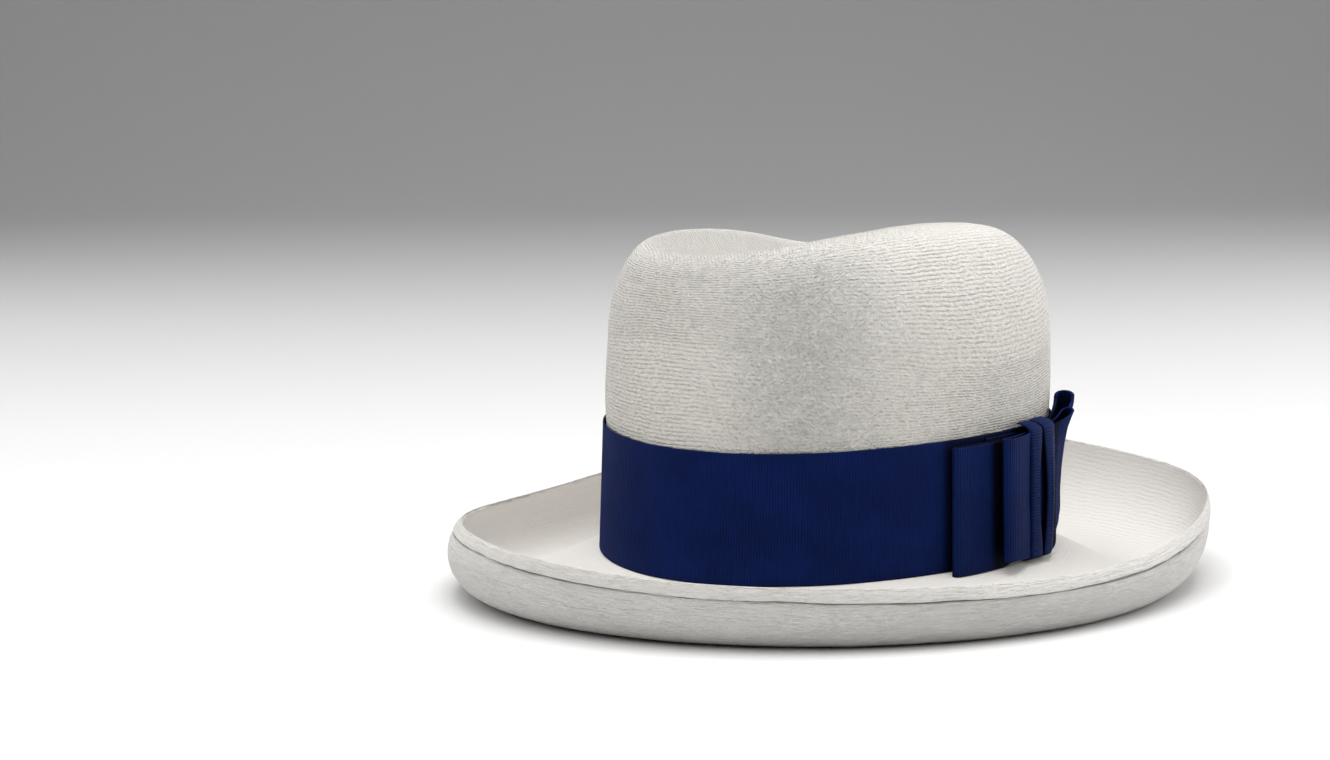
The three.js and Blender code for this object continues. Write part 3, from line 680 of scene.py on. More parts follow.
# ------------------------------------------------------------------ hatband
def build_band():
    n_ = 522 * 7
    s = np.arange(n_) / n_ * PERIM
    rib = np.abs(np.sin(math.pi * s / (PERIM / 522)))
    th = theta_at(((s + PERIM / 2) % PERIM) - PERIM / 2)
    t = 0.55
    zz = across(BAND_H)
    lift = 0.16 * wrap_noise(s / PERIM, np.full(n_, 1.0), 21, 11, 1.0) + 0.05
    edge_up = 0.12 * wrap_noise(s / PERIM, np.full(n_, 1.0), 22, 26, 1.0)
    edge_dn = 0.12 * wrap_noise(s / PERIM, np.full(n_, 1.0), 23, 24, 1.0)
    rows_, vs = [], []
    for side in (1, -1):
        for z in (zz if side > 0 else zz[::-1]):
            h = float(selvedge(np.array(z), BAND_H, t))
            face = -0.36 + (h + 0.11 * rib * (1 if 0.3 < z < BAND_H - 0.3 else 0.5)) * side
            bow = lift * (z / BAND_H - 0.35) * (1 if side > 0 else 0.7)
            zed = z + edge_up * (z / BAND_H) + edge_dn * (1 - z / BAND_H)
            rows_.append(ring(th, face + bow, break_z(th) + zed, z / BAND_H))
            vs.append(z if side > 0 else 2 * BAND_H - z)
    ob = ring_piece("band_grosgrain", rows_, s[None] / PERIM, np.array(vs))
    # painted shade on the band: near-black from just ahead of the front loop's fold, under the bow, fading out by the
    # keeper's far edge
    sd = (s + PERIM / 2) % PERIM - PERIM / 2
    under = 0.68 * smooth((sd + 42.5) / 4.5)
    under = under * (1 - smooth((sd - 22) / 8))
    point_attr(ob, "shut", np.tile(under, len(vs)))
    return ob


def grosgrain_material(name, base, deep, scale=1.0, rough=0.62):
    m_, nt, b = new_mat(name)
    g = G(nt)
    uv = g.node("ShaderNodeUVMap", uv_map="weave").outputs[0]
    u, v, _w = g.sep(uv)
    obj = g.node("ShaderNodeTexCoord").outputs["Object"]
    mm = g.mapping(obj, scale=(1000, 1000, 1000))
    rib = g.math("ABSOLUTE", g.math("SINE", g.math("MULTIPLY", u, math.pi / RIB)))
    # fine warp threads crossing each rib
    warp = g.math("ABSOLUTE", g.math("SINE", g.math("MULTIPLY", v, math.pi / 0.34)))
    uneven = g.noise(g.combine(g.math("MULTIPLY", u, 0.9), g.math("MULTIPLY", v, 0.12), 0.0), 1.0, 3.0, 0.6)
    fuzz = g.noise(g.mapping(mm, scale=(3.2, 3.2, 3.2)), 1.0, 3.0, 0.65)
    h = g.math("ADD", g.math("MULTIPLY", rib, g.math("MULTIPLY_ADD", uneven, 0.8, 0.4)), g.math("MULTIPLY", g.math("MULTIPLY", warp, rib), 0.22))
    h = g.math("ADD", h, g.math("MULTIPLY", fuzz, 0.18))
    shade = g.noise(g.mapping(mm, scale=(0.05, 0.05, 0.05)), 1.0, 3.0)
    # painted shade: the valleys between the ribs are coloured deep navy
    col = g.mixc(g.ramp(rib, 0.05, 0.65), deep, base)
    col = g.mixc(g.math("MULTIPLY", g.ramp(uneven, 0.3, 0.75), 0.35), col, tuple(min(1, c * 1.55) for c in base))
    col = g.mixc(g.ramp(shade, 0.35, 0.65, 0.0, 0.25), col, deep)
    lint = g.ramp(g.noise(g.mapping(mm, scale=(1.1, 1.1, 1.1)), 1.0, 4.0, 0.8), 0.72, 0.82, 0.0, 0.12)
    col = g.mixc(lint, col, (0.05, 0.07, 0.16))
    # painted shade: the ribbon is coloured near-black where the ambient occlusion is low and where the per-point shade
    # value from the mesh is high, in the gaps under and between the bow's pieces
    ao = g.node("ShaderNodeAmbientOcclusion", samples=6)
    ao.inputs["Distance"].default_value = 0.009
    shut = g.ramp(ao.outputs["AO"], 0.35, 0.88, 0.95, 0.0)
    shut = g.math("MAXIMUM", shut, g.attr("shut"))
    col = g.mixc(shut, col, (0.0004, 0.0010, 0.0040))
    g.put(b.inputs["Base Color"], col)
    g.put(b.inputs["Roughness"], g.math("MULTIPLY_ADD", uneven, 0.22, rough - 0.1))
    b.inputs["Specular IOR Level"].default_value = 0.05
    b.inputs["Sheen Weight"].default_value = 0.008
    b.inputs["Sheen Roughness"].default_value = 0.35
    b.inputs["Sheen Tint"].default_value = (0.35, 0.45, 0.9, 1)
    g.put(b.inputs["Normal"], g.bump(h, 0.00016, 0.85))
    return m_


NAVY, NAVY_DEEP = (0.0032, 0.0122, 0.082), (0.0009, 0.0030, 0.022)
mat_band = grosgrain_material("navy_grosgrain_band", NAVY, NAVY_DEEP)
mat_bow = grosgrain_material("navy_grosgrain_bow", (0.0036, 0.0130, 0.078), (0.0010, 0.0034, 0.024))
band = build_band()
band.data.materials.append(mat_band)
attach(band, "root")
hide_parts("hatband")


# ---------------------------------------------------------------------- bow
BOW_S = 14.5
BT = 0.42


def resample(P, ds):
    """Catmull-Rom through the points, then even steps of ds."""
    P = np.asarray(P, float)
    Q = np.concatenate([[2 * P[0] - P[1]], P, [2 * P[-1] - P[-2]]])
    out = []
    for i in range(1, len(Q) - 2):
        for t in np.linspace(0, 1, 14, endpoint=False):
            a, b, c, d_ = Q[i - 1], Q[i], Q[i + 1], Q[i + 2]
            out.append(0.5 * (2 * b + (c - a) * t + (2 * a - 5 * b + 4 * c - d_) * t * t + (3 * b - a - 3 * c + d_) * t ** 3))
    out.append(P[-1])
    out = np.array(out)
    L = np.r_[0, np.cumsum(np.linalg.norm(np.diff(out, axis=0), axis=1))]
    n_ = max(8, int(round(L[-1] / ds)) + 1)
    l = np.linspace(0, L[-1], n_)
    return np.stack([np.interp(l, L, out[:, k]) for k in range(out.shape[1])], -1), l


def ribbon_piece(name, path, lo, hi, lean=None, ripple=0.0, seed=1, t=BT, tilt=None, shape=None, shut=None):
    """A ribbon standing on edge along a path of (s, off), with ribs across it."""
    P, l = resample(path, RIB / 7)
    d_ = np.gradient(P, axis=0)
    d_ /= np.linalg.norm(d_, axis=1, keepdims=True)
    nrm = np.stack([-d_[:, 1], d_[:, 0]], -1)
    s = P[:, 0]
    z0, z1 = lo(s), hi(s)
    w = float((z1 - z0).mean())
    zz = across(w)
    rib = np.abs(np.sin(math.pi * l / RIB))
    g_ = np.random.default_rng(seed)
    ph = g_.uniform(0, TAU, 4)
    cols = []
    for side in (1, -1):
        for z in (zz if side > 0 else zz[::-1]):
            k = z / w
            h = float(selvedge(np.array(z), w, t))
            zed = z0 + (z1 - z0) * k
            q = P + nrm * ((h + 0.10 * rib)[:, None] * side)
            rp = ripple * (np.sin(k * 9 + ph[0]) * 0.6 + np.sin(k * 17 + ph[1]) * 0.4) * np.exp(-np.abs(s - BOW_S) / 16)
            soft = 0.16 * (np.sin(l / 9 + k * 3 + ph[2]) + 0.5 * np.sin(l / 4.3 - k * 5 + ph[3])) * ripple
            off = q[:, 1] + rp + soft
            off = shape(s, zed, off) if shape else off + (lean(s, k, l) if lean else 0)
            ss = q[:, 0] + (tilt(s, k) if tilt else 0)
            cols.append(band_point(ss, off, zed))
    grid = np.stack(cols, 1)
    vs = np.r_[zz, 2 * w - zz[::-1]]
    ob = strip_piece(name, grid, l, vs)
    seam_ok(ob)
    # painted shade along the piece, as a function of s
    if shut:
        point_attr(ob, "shut", np.repeat(shut(s), grid.shape[1]))
    return ob, w, float(l[-1])


def loop_path(s0, s1, inner, fold, outer, ends, belly=0.0, soft=3.2):
    dir_ = math.copysign(1, s1 - s0)
    half = (fold[1] - fold[0]) / 2
    r = soft
    mid = (fold[0] + fold[1]) / 2
    out = []
    for k in np.linspace(0, 0.94, 7):
        out.append((s0 + (s1 - dir_ * r - s0) * k, inner + (fold[0] - inner) * float(smooth(k))))
    for a in np.linspace(-math.pi / 2, math.pi / 2, 9):
        out.append((s1 - dir_ * r + dir_ * r * math.cos(a), mid + half * math.sin(a)))
    for k in np.linspace(0.94, 0, 7):
        out.append((ends + (s1 - dir_ * r - ends) * k, outer + (fold[1] - outer) * float(smooth(k)) + belly * math.sin(math.pi * k)))
    return out


def tuck(h, low):
    """The lower edge: h near the keeper's foot, low out at the fold."""
    return lambda s: h + (low - h) * smooth((np.abs(s - BOW_S) - 12) / 14)


def flat(z):
    return lambda s: np.full_like(s, z)


def rise(base, e, s0, s1):
    """An edge that climbs by e from s0 to s1 along the band."""
    return lambda s: base(s) + e * np.clip((s - s0) / (s1 - s0), 0, 1) ** 1.3


def crest(base, e, s0, s1):
    """Rounds the top of a fold, so that it is highest at its tip."""
    return lambda s: base(s) + e * np.sqrt(np.clip((s - s0) / (s1 - s0), 0, 1))


def pressed(s, z, off):
    """The rear loops lie close to the band low down and stand open at their tops."""
    hs = [0, 20, 30, 38.5, 47, 55, 62]
    near = np.interp(z, hs, [.50, .56, .64, .76, .99, 1.38, 1.6])
    far = np.interp(z, hs, [.58, .60, .80, 1.10, 1.55, 2.05, 2.3])
    m = near + (far - near) * smooth((s - 44.5) / 14)
    return 0.95 + (off - 0.95) * (1 + (m - 1) * smooth((s - 25) / 12.5))


def bow_part(name, node, path, lo, hi, **kw):
    ob, w, L = ribbon_piece(name, path, lo, hi, **kw)
    ob.data.materials.append(mat_bow)
    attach(ob, "root")
    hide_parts(node)
    return ob


bow_part("bow_backing_ribbon", "bow_backing", [(-18, .62), (0, .62), (15, .62), (30, .62), (48, .62)], flat(1.0), flat(50.2), seed=2)
# painted shade on the loops: each is darkened where it runs under the piece laid over it, the front long loop under the
# front short loop, the short loops under the keeper, the rear long loop under the rear short loop
bow_part("bow_front_long_loop", "bow_front_outer_loop",
         loop_path(14, -38, 1.35, (1.35, 4.2), 2.75, 14, 0.0), tuck(0.7, -1.5), flat(48.9), ripple=0.32, seed=3, shut=lambda s: 0.97 * smooth((s + 19.5) / 4),
         lean=lambda s, k, l: 0.5 * np.clip((-s - 6) / 30, 0, 1) * (0.75 - k))
bow_part("bow_front_short_loop", "bow_front_inner_loop",
         loop_path(14, -16.3, 3.7, (7.0, 10.4), 4.9, 14, 0.0), tuck(0.7, 2.0), flat(50.5), ripple=0.30, seed=4, shut=lambda s: 0.9 * smooth((s - 6) / 5),
         lean=lambda s, k, l: 0.5 * np.clip((-s + 6) / 20, 0, 1) * (0.6 - k))
bow_part("bow_rear_long_loop", "bow_rear_outer_loop",
         loop_path(15, 66, 1.35, (1.35, 4.6), 2.75, 15, 0.2, 5.0), rise(tuck(0.7, -0.4), 15.5, 25, 66), crest(rise(flat(48.6), 9.2, 25, 62), 2.6, 61, 66), ripple=0.32, seed=5,
         shape=pressed, shut=lambda s: 0.9 * (1 - smooth((s - 43) / 5)))
bow_part("bow_rear_short_loop", "bow_rear_inner_loop",
         loop_path(15, 43, 3.7, (5.0, 8.6), 4.9, 15, 0.2), rise(tuck(0.7, -0.3), 12.5, 25, 43), rise(flat(50.6), 5.5, 25, 43), ripple=0.30, seed=6,
         shape=pressed, shut=lambda s: 0.9 * (1 - smooth((s - 28) / 5)))


def build_keeper():
    """One ribbon folded lengthwise into two pleats and wrapped over both edges of the band."""
    prof = [(10, 5.62), (5.4, 5.62), (4.2, 5.95), (3.7, 6.9), (4.0, 7.8), (5.0, 8.3), (8.2, 8.7), (11.2, 8.4), (12.4, 7.9), (12.7, 7.3),
            (12.3, 6.85), (11.4, 6.7), (9.8, 6.7), (9.3, 6.42), (9.8, 6.14), (13.0, 6.1), (17.0, 6.1), (20.6, 6.14), (22.0, 6.6), (21.6, 7.35), (19.5, 8.1),
            (16.6, 8.05), (14.9, 7.85), (14.3, 8.12), (14.6, 8.5), (16.2, 8.95), (19.5, 9.3), (22.6, 8.7), (25.4, 7.9), (27.9, 7.0), (28.7, 6.4), (28.0, 5.95), (25.8, 5.62), (22.5, 5.62)]
    P, l = resample(prof, 0.26)
    d_ = np.gradient(P, axis=0)
    d_ /= np.linalg.norm(d_, axis=1, keepdims=True)
    nrm = np.stack([-d_[:, 1], d_[:, 0]], -1)
    t = 0.36
    # path over the band's edge, down the face and under: (angle of roll, height)
    H = []
    for a in np.linspace(math.radians(84), 0, 60):
        H.append((a, None, 1))
    for z in np.linspace(50.6, 0.9, 300):
        H.append((0.0, z, 0))
    for a in np.linspace(0, math.radians(62), 34)[1:]:
        H.append((a, None, -1))
    grids = []
    run, prev = 0.0, None
    us = []
    for a, z, end in H:
        zmid = 50.6 if end == 1 else (0.9 if end == -1 else z)
        hh = np.clip((zmid - 0.9) / 49.7, 0, 1)
        lens = math.sin(math.pi * hh)
        s_, o_ = P[:, 0].copy(), P[:, 1].copy()
        edge1 = smooth((s_ - 7.5) / 4.5) * (1 - smooth((s_ - 13.2) / 1.2)) * (o_ > 6.3)
        edge2 = smooth((s_ - 13.4) / 0.8) * (1 - smooth((s_ - 16.5) / 3.0)) * (o_ > 6.3)
        s_ = s_ - edge1 * (3.9 * lens ** 1.3 - 0.35) + edge2 * (2.1 * lens ** 1.3 - 0.15)
        s_ = s_ - 3.4 * (1 - hh) ** 1.3 * smooth((s_ - 17) / 8)
        s_ = s_ - 0.9 * lens * (s_ < 8) * (1 - smooth((s_ - 3.5) / 4.5)) * 0.5
        o_ = 5.9 + (o_ - 5.9) * (0.74 + 0.30 * lens ** 0.7)
        row = []
        for side in (1, -1):
            q_s = s_ + nrm[:, 0] * t / 2 * side
            q_o = o_ + nrm[:, 1] * t / 2 * side
            if side < 0:
                q_s, q_o = q_s[::-1], q_o[::-1]
            if end == 0:
                p = band_point(q_s, q_o, np.full_like(q_s, z))
            elif end == 1:
                p = band_point(q_s, 0.25 + (q_o - 0.25) * math.cos(a), 50.6 + (1.25 + 0.26 * q_o) * math.sin(a))
            else:
                p = band_point(q_s, 0.6 + (q_o - 0.6) * math.cos(a), 0.9 - (1.0 + 0.16 * q_o) * math.sin(a))
            row.append(p)
        row = np.concatenate(row)
        c = row[len(P) // 3]
        if prev is not None:
            run += float(np.linalg.norm(c - prev))
        prev = c
        us.append(run)
        grids.append(row)
    # the ribs, across the strip
    Gd = np.stack(grids)
    rib = np.abs(np.sin(math.pi * np.array(us) / RIB))
    n_ = len(P)
    dlt = (Gd[:, :n_] - Gd[:, n_:][:, ::-1])
    dlt /= np.linalg.norm(dlt, axis=2, keepdims=True) + 1e-9
    Gd[:, :n_] += dlt * (0.10 * rib)[:, None, None]
    Gd[:, n_:] -= dlt[:, ::-1] * (0.10 * rib)[:, None, None]
    vs = np.r_[l, 2 * l[-1] - l[::-1]]
    ob = strip_piece("bow_keeper_ribbon", Gd, np.array(us), vs)
    seam_ok(ob)
    return ob, float(l[-1]), run


keeper, k_w, k_l = build_keeper()
keeper.data.materials.append(mat_bow)
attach(keeper, "root")
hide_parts("bow_keeper")


# ------------------------------------------------ brim edge's back-woven layer
def build_welt():
    n_ = 960
    th = np.linspace(0, TAU, n_, endpoint=False)
    u = th / TAU
    S = section(th)
    one = np.ones(n_)
    low = 4.4 + 0.28 * wrap_noise(u, 0 * one, 9, 48, 1.0) + 0.12 * wrap_noise(u, 0 * one, 10, 170, 1.0)
    thick = 0.62 + 0.07 * wrap_noise(u, 0 * one, 12, 200, 1.0)
    prof_ = []
    for q in np.linspace(-0.10, 1, 22):
        prof_.append((q, 1.0))
    for a in np.linspace(0, math.pi, 9)[1:-1]:
        prof_.append((1 + 0.07 * math.sin(a), (1 + math.cos(a)) / 2))
    for q in np.linspace(1, -0.10, 10):
        prof_.append((q, 0.0))
    for a in np.linspace(0, math.pi, 7)[1:-1]:
        prof_.append((-0.10 - 0.06 * math.sin(a), (1 - math.cos(a)) / 2))
    rows_, vs = [], []
    for q, o in prof_:
        dist = low * q
        phi = S["p"] - dist / (S["R"] + 1.0)
        fibre = 0.035 * wrap_noise(u, q * 9 * one, 13, 420, 1.0) * (o > 0.5)
        rows_.append(ring(th, S["rc"] + (S["R"] + 0.47 + thick * o + fibre) * np.sin(phi), S["zc"] - (S["R"] + 0.47 + thick * o + fibre) * np.cos(phi)))
        vs.append(5 * q if o > 0.5 else 12 - 5 * q)
    return ring_piece("brim_edge_weave", rows_, u[None], np.array(vs) + 400.0)


welt = build_welt()
mat_edge = straw_material("toquilla_straw_edge")
welt.data.materials.append(mat_edge)
# the edge layer takes the curl's long fibres and most of its paler colour, which is painted light
point_attr(welt, "curl", np.full(len(welt.data.vertices), 0.85))
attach(welt, "root")
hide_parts("brim_edge_welt")


# ---------------------------------------------------------------- sweatband
IN = -INSET - STRAW_T
REAR = math.pi / 2


def leather_material(name, base, dark, fine=1.0, rough=0.48):
    m_, nt, b = new_mat(name)
    g = G(nt)
    obj = g.node("ShaderNodeTexCoord").outputs["Object"]
    mm = g.mapping(obj, scale=(1000, 1000, 1000))
    grain = g.voronoi(g.mapping(mm, scale=(1.15 * fine,) * 3), 1.0, 1.0, "DISTANCE_TO_EDGE")
    pores = g.noise(g.mapping(mm, scale=(2.1 * fine,) * 3), 1.0, 3.0, 0.6)
    crease = g.noise(g.mapping(mm, scale=(0.10, 0.10, 0.35)), 1.0, 4.0, 0.6)
    h = g.math("ADD", g.ramp(grain, 0.0, 0.16), g.math("MULTIPLY", pores, 0.5))
    h = g.math("ADD", h, g.math("MULTIPLY", crease, 0.8))
    tone = g.noise(g.mapping(mm, scale=(0.035,) * 3), 1.0, 4.0, 0.6)
    col = g.mixc(g.ramp(tone, 0.3, 0.7), base, dark)
    col = g.mixc(g.ramp(grain, 0.0, 0.10, 0.45, 0.0), col, tuple(c * 0.55 for c in dark))
    g.put(b.inputs["Base Color"], col)
    g.put(b.inputs["Roughness"], g.math("MULTIPLY_ADD", pores, 0.25, rough - 0.1))
    b.inputs["Specular IOR Level"].default_value = 0.45
    g.put(b.inputs["Normal"], g.bump(h, 0.00012, 0.7))
    return m_


mat_leather = leather_material("tan_leather", (0.36, 0.165, 0.070), (0.27, 0.115, 0.045))
mat_patch = leather_material("brown_leather", (0.20, 0.095, 0.042), (0.14, 0.062, 0.026), 1.4, 0.6)


def open_piece(name, node, mat, sections_fn, th):
    A_ = np.stack(sections_fn(th), 1)
    us = np.cumsum(np.r_[0, np.linalg.norm(np.diff(A_[:, 0], axis=0), axis=1)])
    vs = np.cumsum(np.r_[0, np.linalg.norm(np.diff(A_[0], axis=0), axis=1)])
    ob = strip_piece(name, A_, us, vs)
    seam_ok(ob)
    ob.data.materials.append(mat)
    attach(ob, "root")
    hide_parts(node)
    return ob


SW_H, SW_T, LEAN = 46.0, 0.9, 1.7


def leather_sections(th):
    u = th / TAU
    one = np.ones_like(th)
    wave = 0.28 * wrap_noise(u, 0 * one, 31, 17, 1.0)
    top = 0.25 * wrap_noise(u, 0 * one, 32, 9, 1.0)
    zs = np.r_[1.6, 1.75, 2.1, np.linspace(3.0, 43.5, 26), 44.6, 45.3, 45.75, 45.95]
    out = []
    for side in (0, 1):
        for i_, z in enumerate(zs if side == 0 else zs[::-1]):
            k = z / BAND_H
            r_in = IN - 0.9 - LEAN * ((z - 1.6) / (SW_H - 1.6)) ** 0.8 + wave * ((z - 1.6) / 45) ** 1.5
            edge = min(z - 1.6, 46.0 - z)
            e = 0.5 * SW_T * (1 - math.sqrt(max(0.0, 1 - (1 - min(1, edge / 0.45)) ** 2)))
            # two pressed lines near the upper edge and one over the seam
            press = 0.10 * (math.exp(-((z - 42.2) / 0.3) ** 2) + math.exp(-((z - 40.9) / 0.25) ** 2) + math.exp(-((z - 6.0) / 0.3) ** 2))
            r = r_in - e if side == 0 else r_in - SW_T + e + press
            out.append(ring(th, r, break_z(th) + z + top * (z / 46), k))
    return out


g_open = 1.4 / HALF_W
th_open = np.linspace(REAR + g_open / 2, REAR + TAU - g_open / 2, 500)
leather = open_piece("sweatband_tan_leather", "sweatband_leather", mat_leather, leather_sections, th_open)

REED = IN - 0.9 - STRAW_T / 2


def tube_rows(th, r0, z0, rad, nseg=10):
    return [ring(th, r0 + rad * math.cos(a), break_z(th) + z0 + rad * math.sin(a)) for a in np.linspace(0, TAU, nseg, endpoint=False)]


def tape_material():
    m_, nt, b = new_mat("cotton_tape")
    g = G(nt)
    uv = g.node("ShaderNodeUVMap", uv_map="weave").outputs[0]
    u, v, _w = g.sep(uv)
    a = g.math("ABSOLUTE", g.math("SINE", g.math("MULTIPLY", g.math("ADD", u, v), math.pi / 0.55)))
    c = g.math("ABSOLUTE", g.math("SINE", g.math("MULTIPLY", g.math("SUBTRACT", u, v), math.pi / 0.55)))
    h = g.math("MULTIPLY", a, c)
    obj = g.node("ShaderNodeTexCoord").outputs["Object"]
    nz = g.noise(obj, 900.0, 3.0)
    # painted shade: the hollows between the threads are coloured darker
    col = g.mixc(g.ramp(h, 0.0, 0.6), (0.06, 0.032, 0.018), (0.16, 0.085, 0.045))
    col = g.mixc(g.math("MULTIPLY", nz, 0.3), col, (0.20, 0.12, 0.07))
    g.put(b.inputs["Base Color"], col)
    b.inputs["Roughness"].default_value = 0.78
    g.put(b.inputs["Normal"], g.bump(h, 0.00010, 0.8))
    return m_


def thread_material(name, base):
    m_, nt, b = new_mat(name)
    g = G(nt)
    obj = g.node("ShaderNodeTexCoord").outputs["Object"]
    mm = g.mapping(obj, scale=(1000, 1000, 1000))
    x, y, z = g.sep(mm)
    ply = g.math("ABSOLUTE", g.math("SINE", g.math("MULTIPLY", g.math("ADD", g.math("ADD", x, y), g.math("MULTIPLY", z, 1.6)), math.pi / 0.42)))
    nz = g.noise(mm, 3.0, 2.0)
    # painted shade: the grooves between the plies are coloured darker
    col = g.mixc(g.ramp(ply, 0.0, 0.7), tuple(c * 0.6 for c in base), base)
    col = g.mixc(g.math("MULTIPLY", nz, 0.2), col, tuple(min(1, c * 1.2) for c in base))
    g.put(b.inputs["Base Color"], col)
    b.inputs["Roughness"].default_value = 0.6
    g.put(b.inputs["Normal"], g.bump(ply, 0.00006, 0.8))
    return m_


def ring_part(name, node, mat, rows_, th):
    ob = ring_piece(name, rows_, (th / TAU)[None], np.linspace(0, 20, len(rows_)))
    ob.data.materials.append(mat)
    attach(ob, "root")
    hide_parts(node)
    return ob


th_r = np.linspace(0, TAU, 720, endpoint=False)
ring_part("sweatband_reed_cane", "sweatband_reed", thread_material("split_cane", (0.62, 0.52, 0.34)), tube_rows(th_r, REED, 0.4, 0.58), th_r)
tw = [(-1.18, 4.4), (-1.2, 3.2), (-1.2, 1.6), (-1.18, 0.4), (-0.98, -0.2), (-0.6, -0.62), (0, -0.8), (0.6, -0.62), (0.98, -0.2), (1.18, 0.4), (1.2, 1.6), (1.2, 3.2), (1.18, 4.4),
      (0.93, 4.42), (0.9, 3.2), (0.9, 1.6), (0.88, 0.4), (0.74, -0.1), (0.45, -0.38), (0, -0.5), (-0.45, -0.38), (-0.74, -0.1), (-0.88, 0.4), (-0.9, 1.6), (-0.9, 3.2), (-0.93, 4.42)]
tape_rows = [ring(th_r, REED + r, break_z(th_r) + z + (0.08 * wrap_noise(th_r / TAU, 0 * th_r, 41, 90, 1.0) if z > 4 else 0)) for r, z in tw]
ring_part("sweatband_reed_tape_cotton", "sweatband_reed_tape", tape_material(), tape_rows, th_r)

# a running stitch: one thread that lies on the tape and dips through it
n_st = 2880
th_s = np.linspace(0, TAU, n_st, endpoint=False)
stitches = 92
w_ = np.sin(th_s * stitches)
dip = np.where(w_ > -0.25, 0.0, 1.0)
depth_s = -0.16 + 0.62 * smooth((-w_ - 0.15) / 0.55)
rows_s = [ring(th_s, REED - 1.2 - 0.30 + depth_s + 0.26 * math.cos(a), break_z(th_s) + 2.8 + 0.10 * np.sin(th_s * stitches / 2) + 0.26 * math.sin(a))
          for a in np.linspace(0, TAU, 8, endpoint=False)]
ring_part("sweatband_stitching", "sweatband_thread", thread_material("linen_thread", (0.80, 0.76, 0.66)), rows_s, th_s)


def ring_rear(x, r, z):
    th = REAR - x / HALF_W / 1.02
    return ring(th, r, break_z(th) + z, z / BAND_H)


def rear_piece(name, node, mat, grid, us, vs):
    ob = strip_piece(name, grid, us, vs)
    seam_ok(ob)
    ob.data.materials.append(mat)
    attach(ob, "root")
    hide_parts(node)
    return ob


def build_patch():
    xs = np.linspace(-8, 8, 33)
    zs = np.r_[16, 16.2, 16.6, np.linspace(17.5, 42.5, 14), 43.4, 43.8, 44]
    cols = []
    for side in (0, 1):
        for z in (zs if side == 0 else zs[::-1]):
            e = max(0.0, 1 - min(z - 16, 44 - z) / 0.5)
            r = IN - 0.45 - 0.06 * (z - 16) / 28 - (0.12 * e if side == 0 else 0.5 - 0.12 * e)
            cols.append(ring_rear(xs, np.full_like(xs, r), z))
    grid = np.stack(cols, 1)
    return rear_piece("sweatband_joint_backing", "sweatband_joint_patch", mat_patch, grid, xs, np.arange(grid.shape[1]) * 1.0)


build_patch()


def satin_material():
    m_, nt, b = new_mat("navy_satin")
    g = G(nt)
    uv = g.node("ShaderNodeUVMap", uv_map="weave").outputs[0]
    u, v, _w = g.sep(uv)
    warp = g.math("ABSOLUTE", g.math("SINE", g.math("MULTIPLY", v, math.pi / 0.16)))
    nz = g.noise(g.combine(g.math("MULTIPLY", u, 0.6), g.math("MULTIPLY", v, 5.0), 0.0), 1.0, 3.0)
    col = g.mixc(nz, (0.006, 0.007, 0.022), (0.014, 0.016, 0.045))
    g.put(b.inputs["Base Color"], col)
    g.put(b.inputs["Roughness"], g.math("MULTIPLY_ADD", nz, 0.2, 0.24))
    b.inputs["Anisotropic"].default_value = 0.6
    g.put(b.inputs["Normal"], g.bump(warp, 0.00003, 0.6))
    return m_


mat_satin = satin_material()


def build_small_bow():
    r0, t = IN - 0.9 - STRAW_T - 0.9, 0.26
    path = [(-0.5, .3), (-3, .3), (-6, .3), (-9, .3), (-10.4, .35), (-11.2, .8), (-11.5, 1.4), (-11.2, 2.0), (-10.4, 2.4), (-8, 2.6), (-5, 2.3), (-2.2, 1.6), (0, 1.45),
            (2.2, 1.6), (5, 2.3), (8, 2.6), (10.4, 2.4), (11.2, 2.0), (11.5, 1.4), (11.2, .8), (10.4, .35), (9, .3), (6, .3), (3, .3), (0.5, .3)]
    P, l = resample(path, 0.3)
    d_ = np.gradient(P, axis=0)
    d_ /= np.linalg.norm(d_, axis=1, keepdims=True)
    nr = np.stack([-d_[:, 1], d_[:, 0]], -1)
    pinch = 1 - 0.34 * np.exp(-(P[:, 0] / 3.2) ** 2)
    cols, vs = [], []
    ks = np.r_[-1, -0.97, -0.9, np.linspace(-0.8, 0.8, 9), 0.9, 0.97, 1]
    for side in (1, -1):
        for k in (ks if side > 0 else ks[::-1]):
            h = t / 2 * math.sqrt(max(0.08, 1 - abs(k) ** 14))
            q = P + nr * (h * side)
            crimp = 0.22 * math.sin(k * 7) * np.exp(-(P[:, 0] / 4.0) ** 2) * (P[:, 1] > 1.2)
            cols.append(ring_rear(q[:, 0], r0 - q[:, 1] - crimp, 10 + 3.0 * k * pinch))
            vs.append(3.0 * k if side > 0 else 9 - 3.0 * k)
    grid = np.stack(cols, 1)
    rear_piece("sweatband_satin_bow", "sweatband_bow_ribbon", mat_satin, grid, l, np.array(vs))
    # knot
    xs = np.linspace(-2.5, 2.5, 21)
    cols = []
    for a in np.linspace(0, TAU, 28, endpoint=False):
        e = np.sqrt(np.clip(1 - (np.abs(xs) / 2.5) ** 6, 0.12, 1))
        o = 2.45 + 0.85 * math.sin(a) * e * (1 + 0.10 * math.sin(5 * a))
        z = 10 + 3.1 * math.cos(a) * (0.92 + 0.08 * e)
        cols.append(ring_rear(xs, r0 - o - 0.06 * np.sin(xs * 5), z))
    grid = np.stack(cols, 1)
    rear_piece("sweatband_satin_knot", "sweatband_bow_knot", mat_satin, grid, xs, np.linspace(0, 12, 28))


build_small_bow()

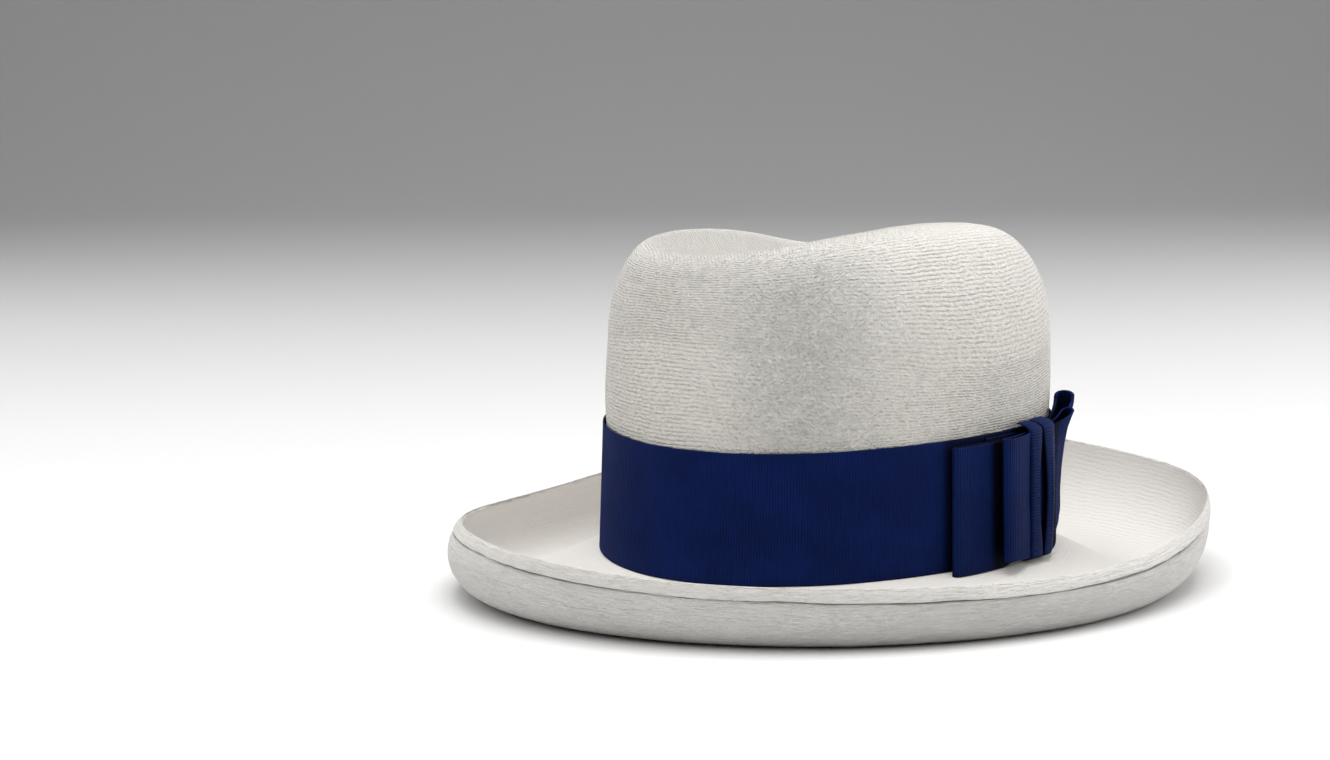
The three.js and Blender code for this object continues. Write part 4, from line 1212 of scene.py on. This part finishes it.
# -------------------------------------------------------------- camera, stage
AZ, EL, ROLL = map(math.radians, (35.463, 7.9364, 0.5452))
DIST, FPX, TX, TY = 1671.97, 4110.89, 169.12, 14.20
back = np.array([math.sin(AZ) * math.cos(EL), -math.cos(AZ) * math.cos(EL), math.sin(EL)])
right = np.array([math.cos(AZ), math.sin(AZ), 0.0])
up_ = np.cross(back, right)
rr = right * math.cos(ROLL) + up_ * math.sin(ROLL)
uu_ = -right * math.sin(ROLL) + up_ * math.cos(ROLL)
dvec = np.array([TX, -TY, -FPX]); dvec /= np.linalg.norm(dvec)
zax = np.array([0, 0, -1.0])
vx = np.cross(zax, dvec); cc = float(zax @ dvec)
KX = np.array([[0, -vx[2], vx[1]], [vx[2], 0, -vx[0]], [-vx[1], vx[0], 0]])
PAN = np.eye(3) + KX + KX @ KX / (1 + cc)
CAMM = PAN @ np.stack([rr, uu_, back])
cam_pos = settle(np.array([0, 0, 60.0]) + back * DIST)
axes = LEVEL @ CAMM.T
cam_data = bpy.data.cameras.new("camera")
cam_data.sensor_width = 36.0
cam_data.lens = FPX / 1330 * 36.0
cam_data.clip_end = 60
cam = bpy.data.objects.new("camera", cam_data)
bpy.context.scene.collection.objects.link(cam)
Mx = Matrix.Identity(4)
for i_ in range(3):
    for j_ in range(3):
        Mx[i_][j_] = axes[i_, j_]
    Mx[i_][3] = cam_pos[i_]
cam.matrix_world = Mx
bpy.context.scene.camera = cam

R_ = Vector((math.cos(AZ), math.sin(AZ), 0))
B_ = Vector((math.sin(AZ), -math.cos(AZ), 0))
Z_ = Vector((0, 0, 1))


def area_light(name, r, b, z, size, power, aim=(0, 0, 0.08), colour=(1, 1, 1), size_y=None):
    l = bpy.data.lights.new(name, "AREA")
    l.shape = "RECTANGLE"
    l.size, l.size_y = size, size_y or size
    l.energy = power
    l.color = colour
    o = bpy.data.objects.new(name, l)
    bpy.context.scene.collection.objects.link(o)
    p = R_ * r + B_ * b + Z_ * z
    o.matrix_world = Matrix.Translation(p) @ (Vector(aim) - p).to_track_quat("-Z", "Y").to_matrix().to_4x4()
    return o


area_light("softbox_top", 0.05, 0.0, 1.5, 1.3, 20.5)
area_light("softbox_left_high", -1.0, 0.1, 1.15, 1.9, 10.8)
area_light("softbox_right_low", 1.4, 0.0, 0.5, 1.2, 6.8)
area_light("softbox_right_rear", 1.15, -0.8, 0.5, 1.0, 6.8)
area_light("softbox_front_high", 0.0, 1.1, 1.2, 1.2, 9.5)
area_light("softbox_left_rear", -1.15, -0.8, 0.5, 0.9, 1.8)

world = bpy.data.worlds.new("world")
world.use_nodes = True
world.node_tree.nodes["Background"].inputs[0].default_value = (0.93, 0.94, 0.95, 1)
world.node_tree.nodes["Background"].inputs[1].default_value = 0.03
bpy.context.scene.world = world
bpy.context.scene.view_settings.view_transform = "Standard"
bpy.context.scene.view_settings.look = "None"


def stage_material():
    m_, nt, b = new_mat("floor_paper")
    g = G(nt)
    obj = g.node("ShaderNodeTexCoord").outputs["Object"]
    nz = g.noise(obj, 3.0, 3.0)
    g.put(b.inputs["Base Color"], g.mixc(nz, (0.78, 0.78, 0.78), (0.81, 0.81, 0.805)))
    b.inputs["Roughness"].default_value = 0.85
    return m_


fv, ff = [], []
W, D0, D1 = 9.0, -9.0, 3.0
prof = [(D0, 0.0), (D1 - 1.2, 0.0)] + [(D1 - 1.2 + 1.2 * math.sin(a), 1.2 - 1.2 * math.cos(a)) for a in np.linspace(0.08, math.pi / 2, 14)] + [(D1, 4.0)]
for (f_, z_) in prof:
    for sx in (-W, W):
        p = R_ * sx - B_ * f_
        fv.append((p.x, p.y, z_))
for i_ in range(len(prof) - 1):
    ff.append((2 * i_, 2 * i_ + 1, 2 * i_ + 3, 2 * i_ + 2))
floor = make_mesh("floor", np.array(fv), np.array(ff))
floor.data.materials.append(stage_material())
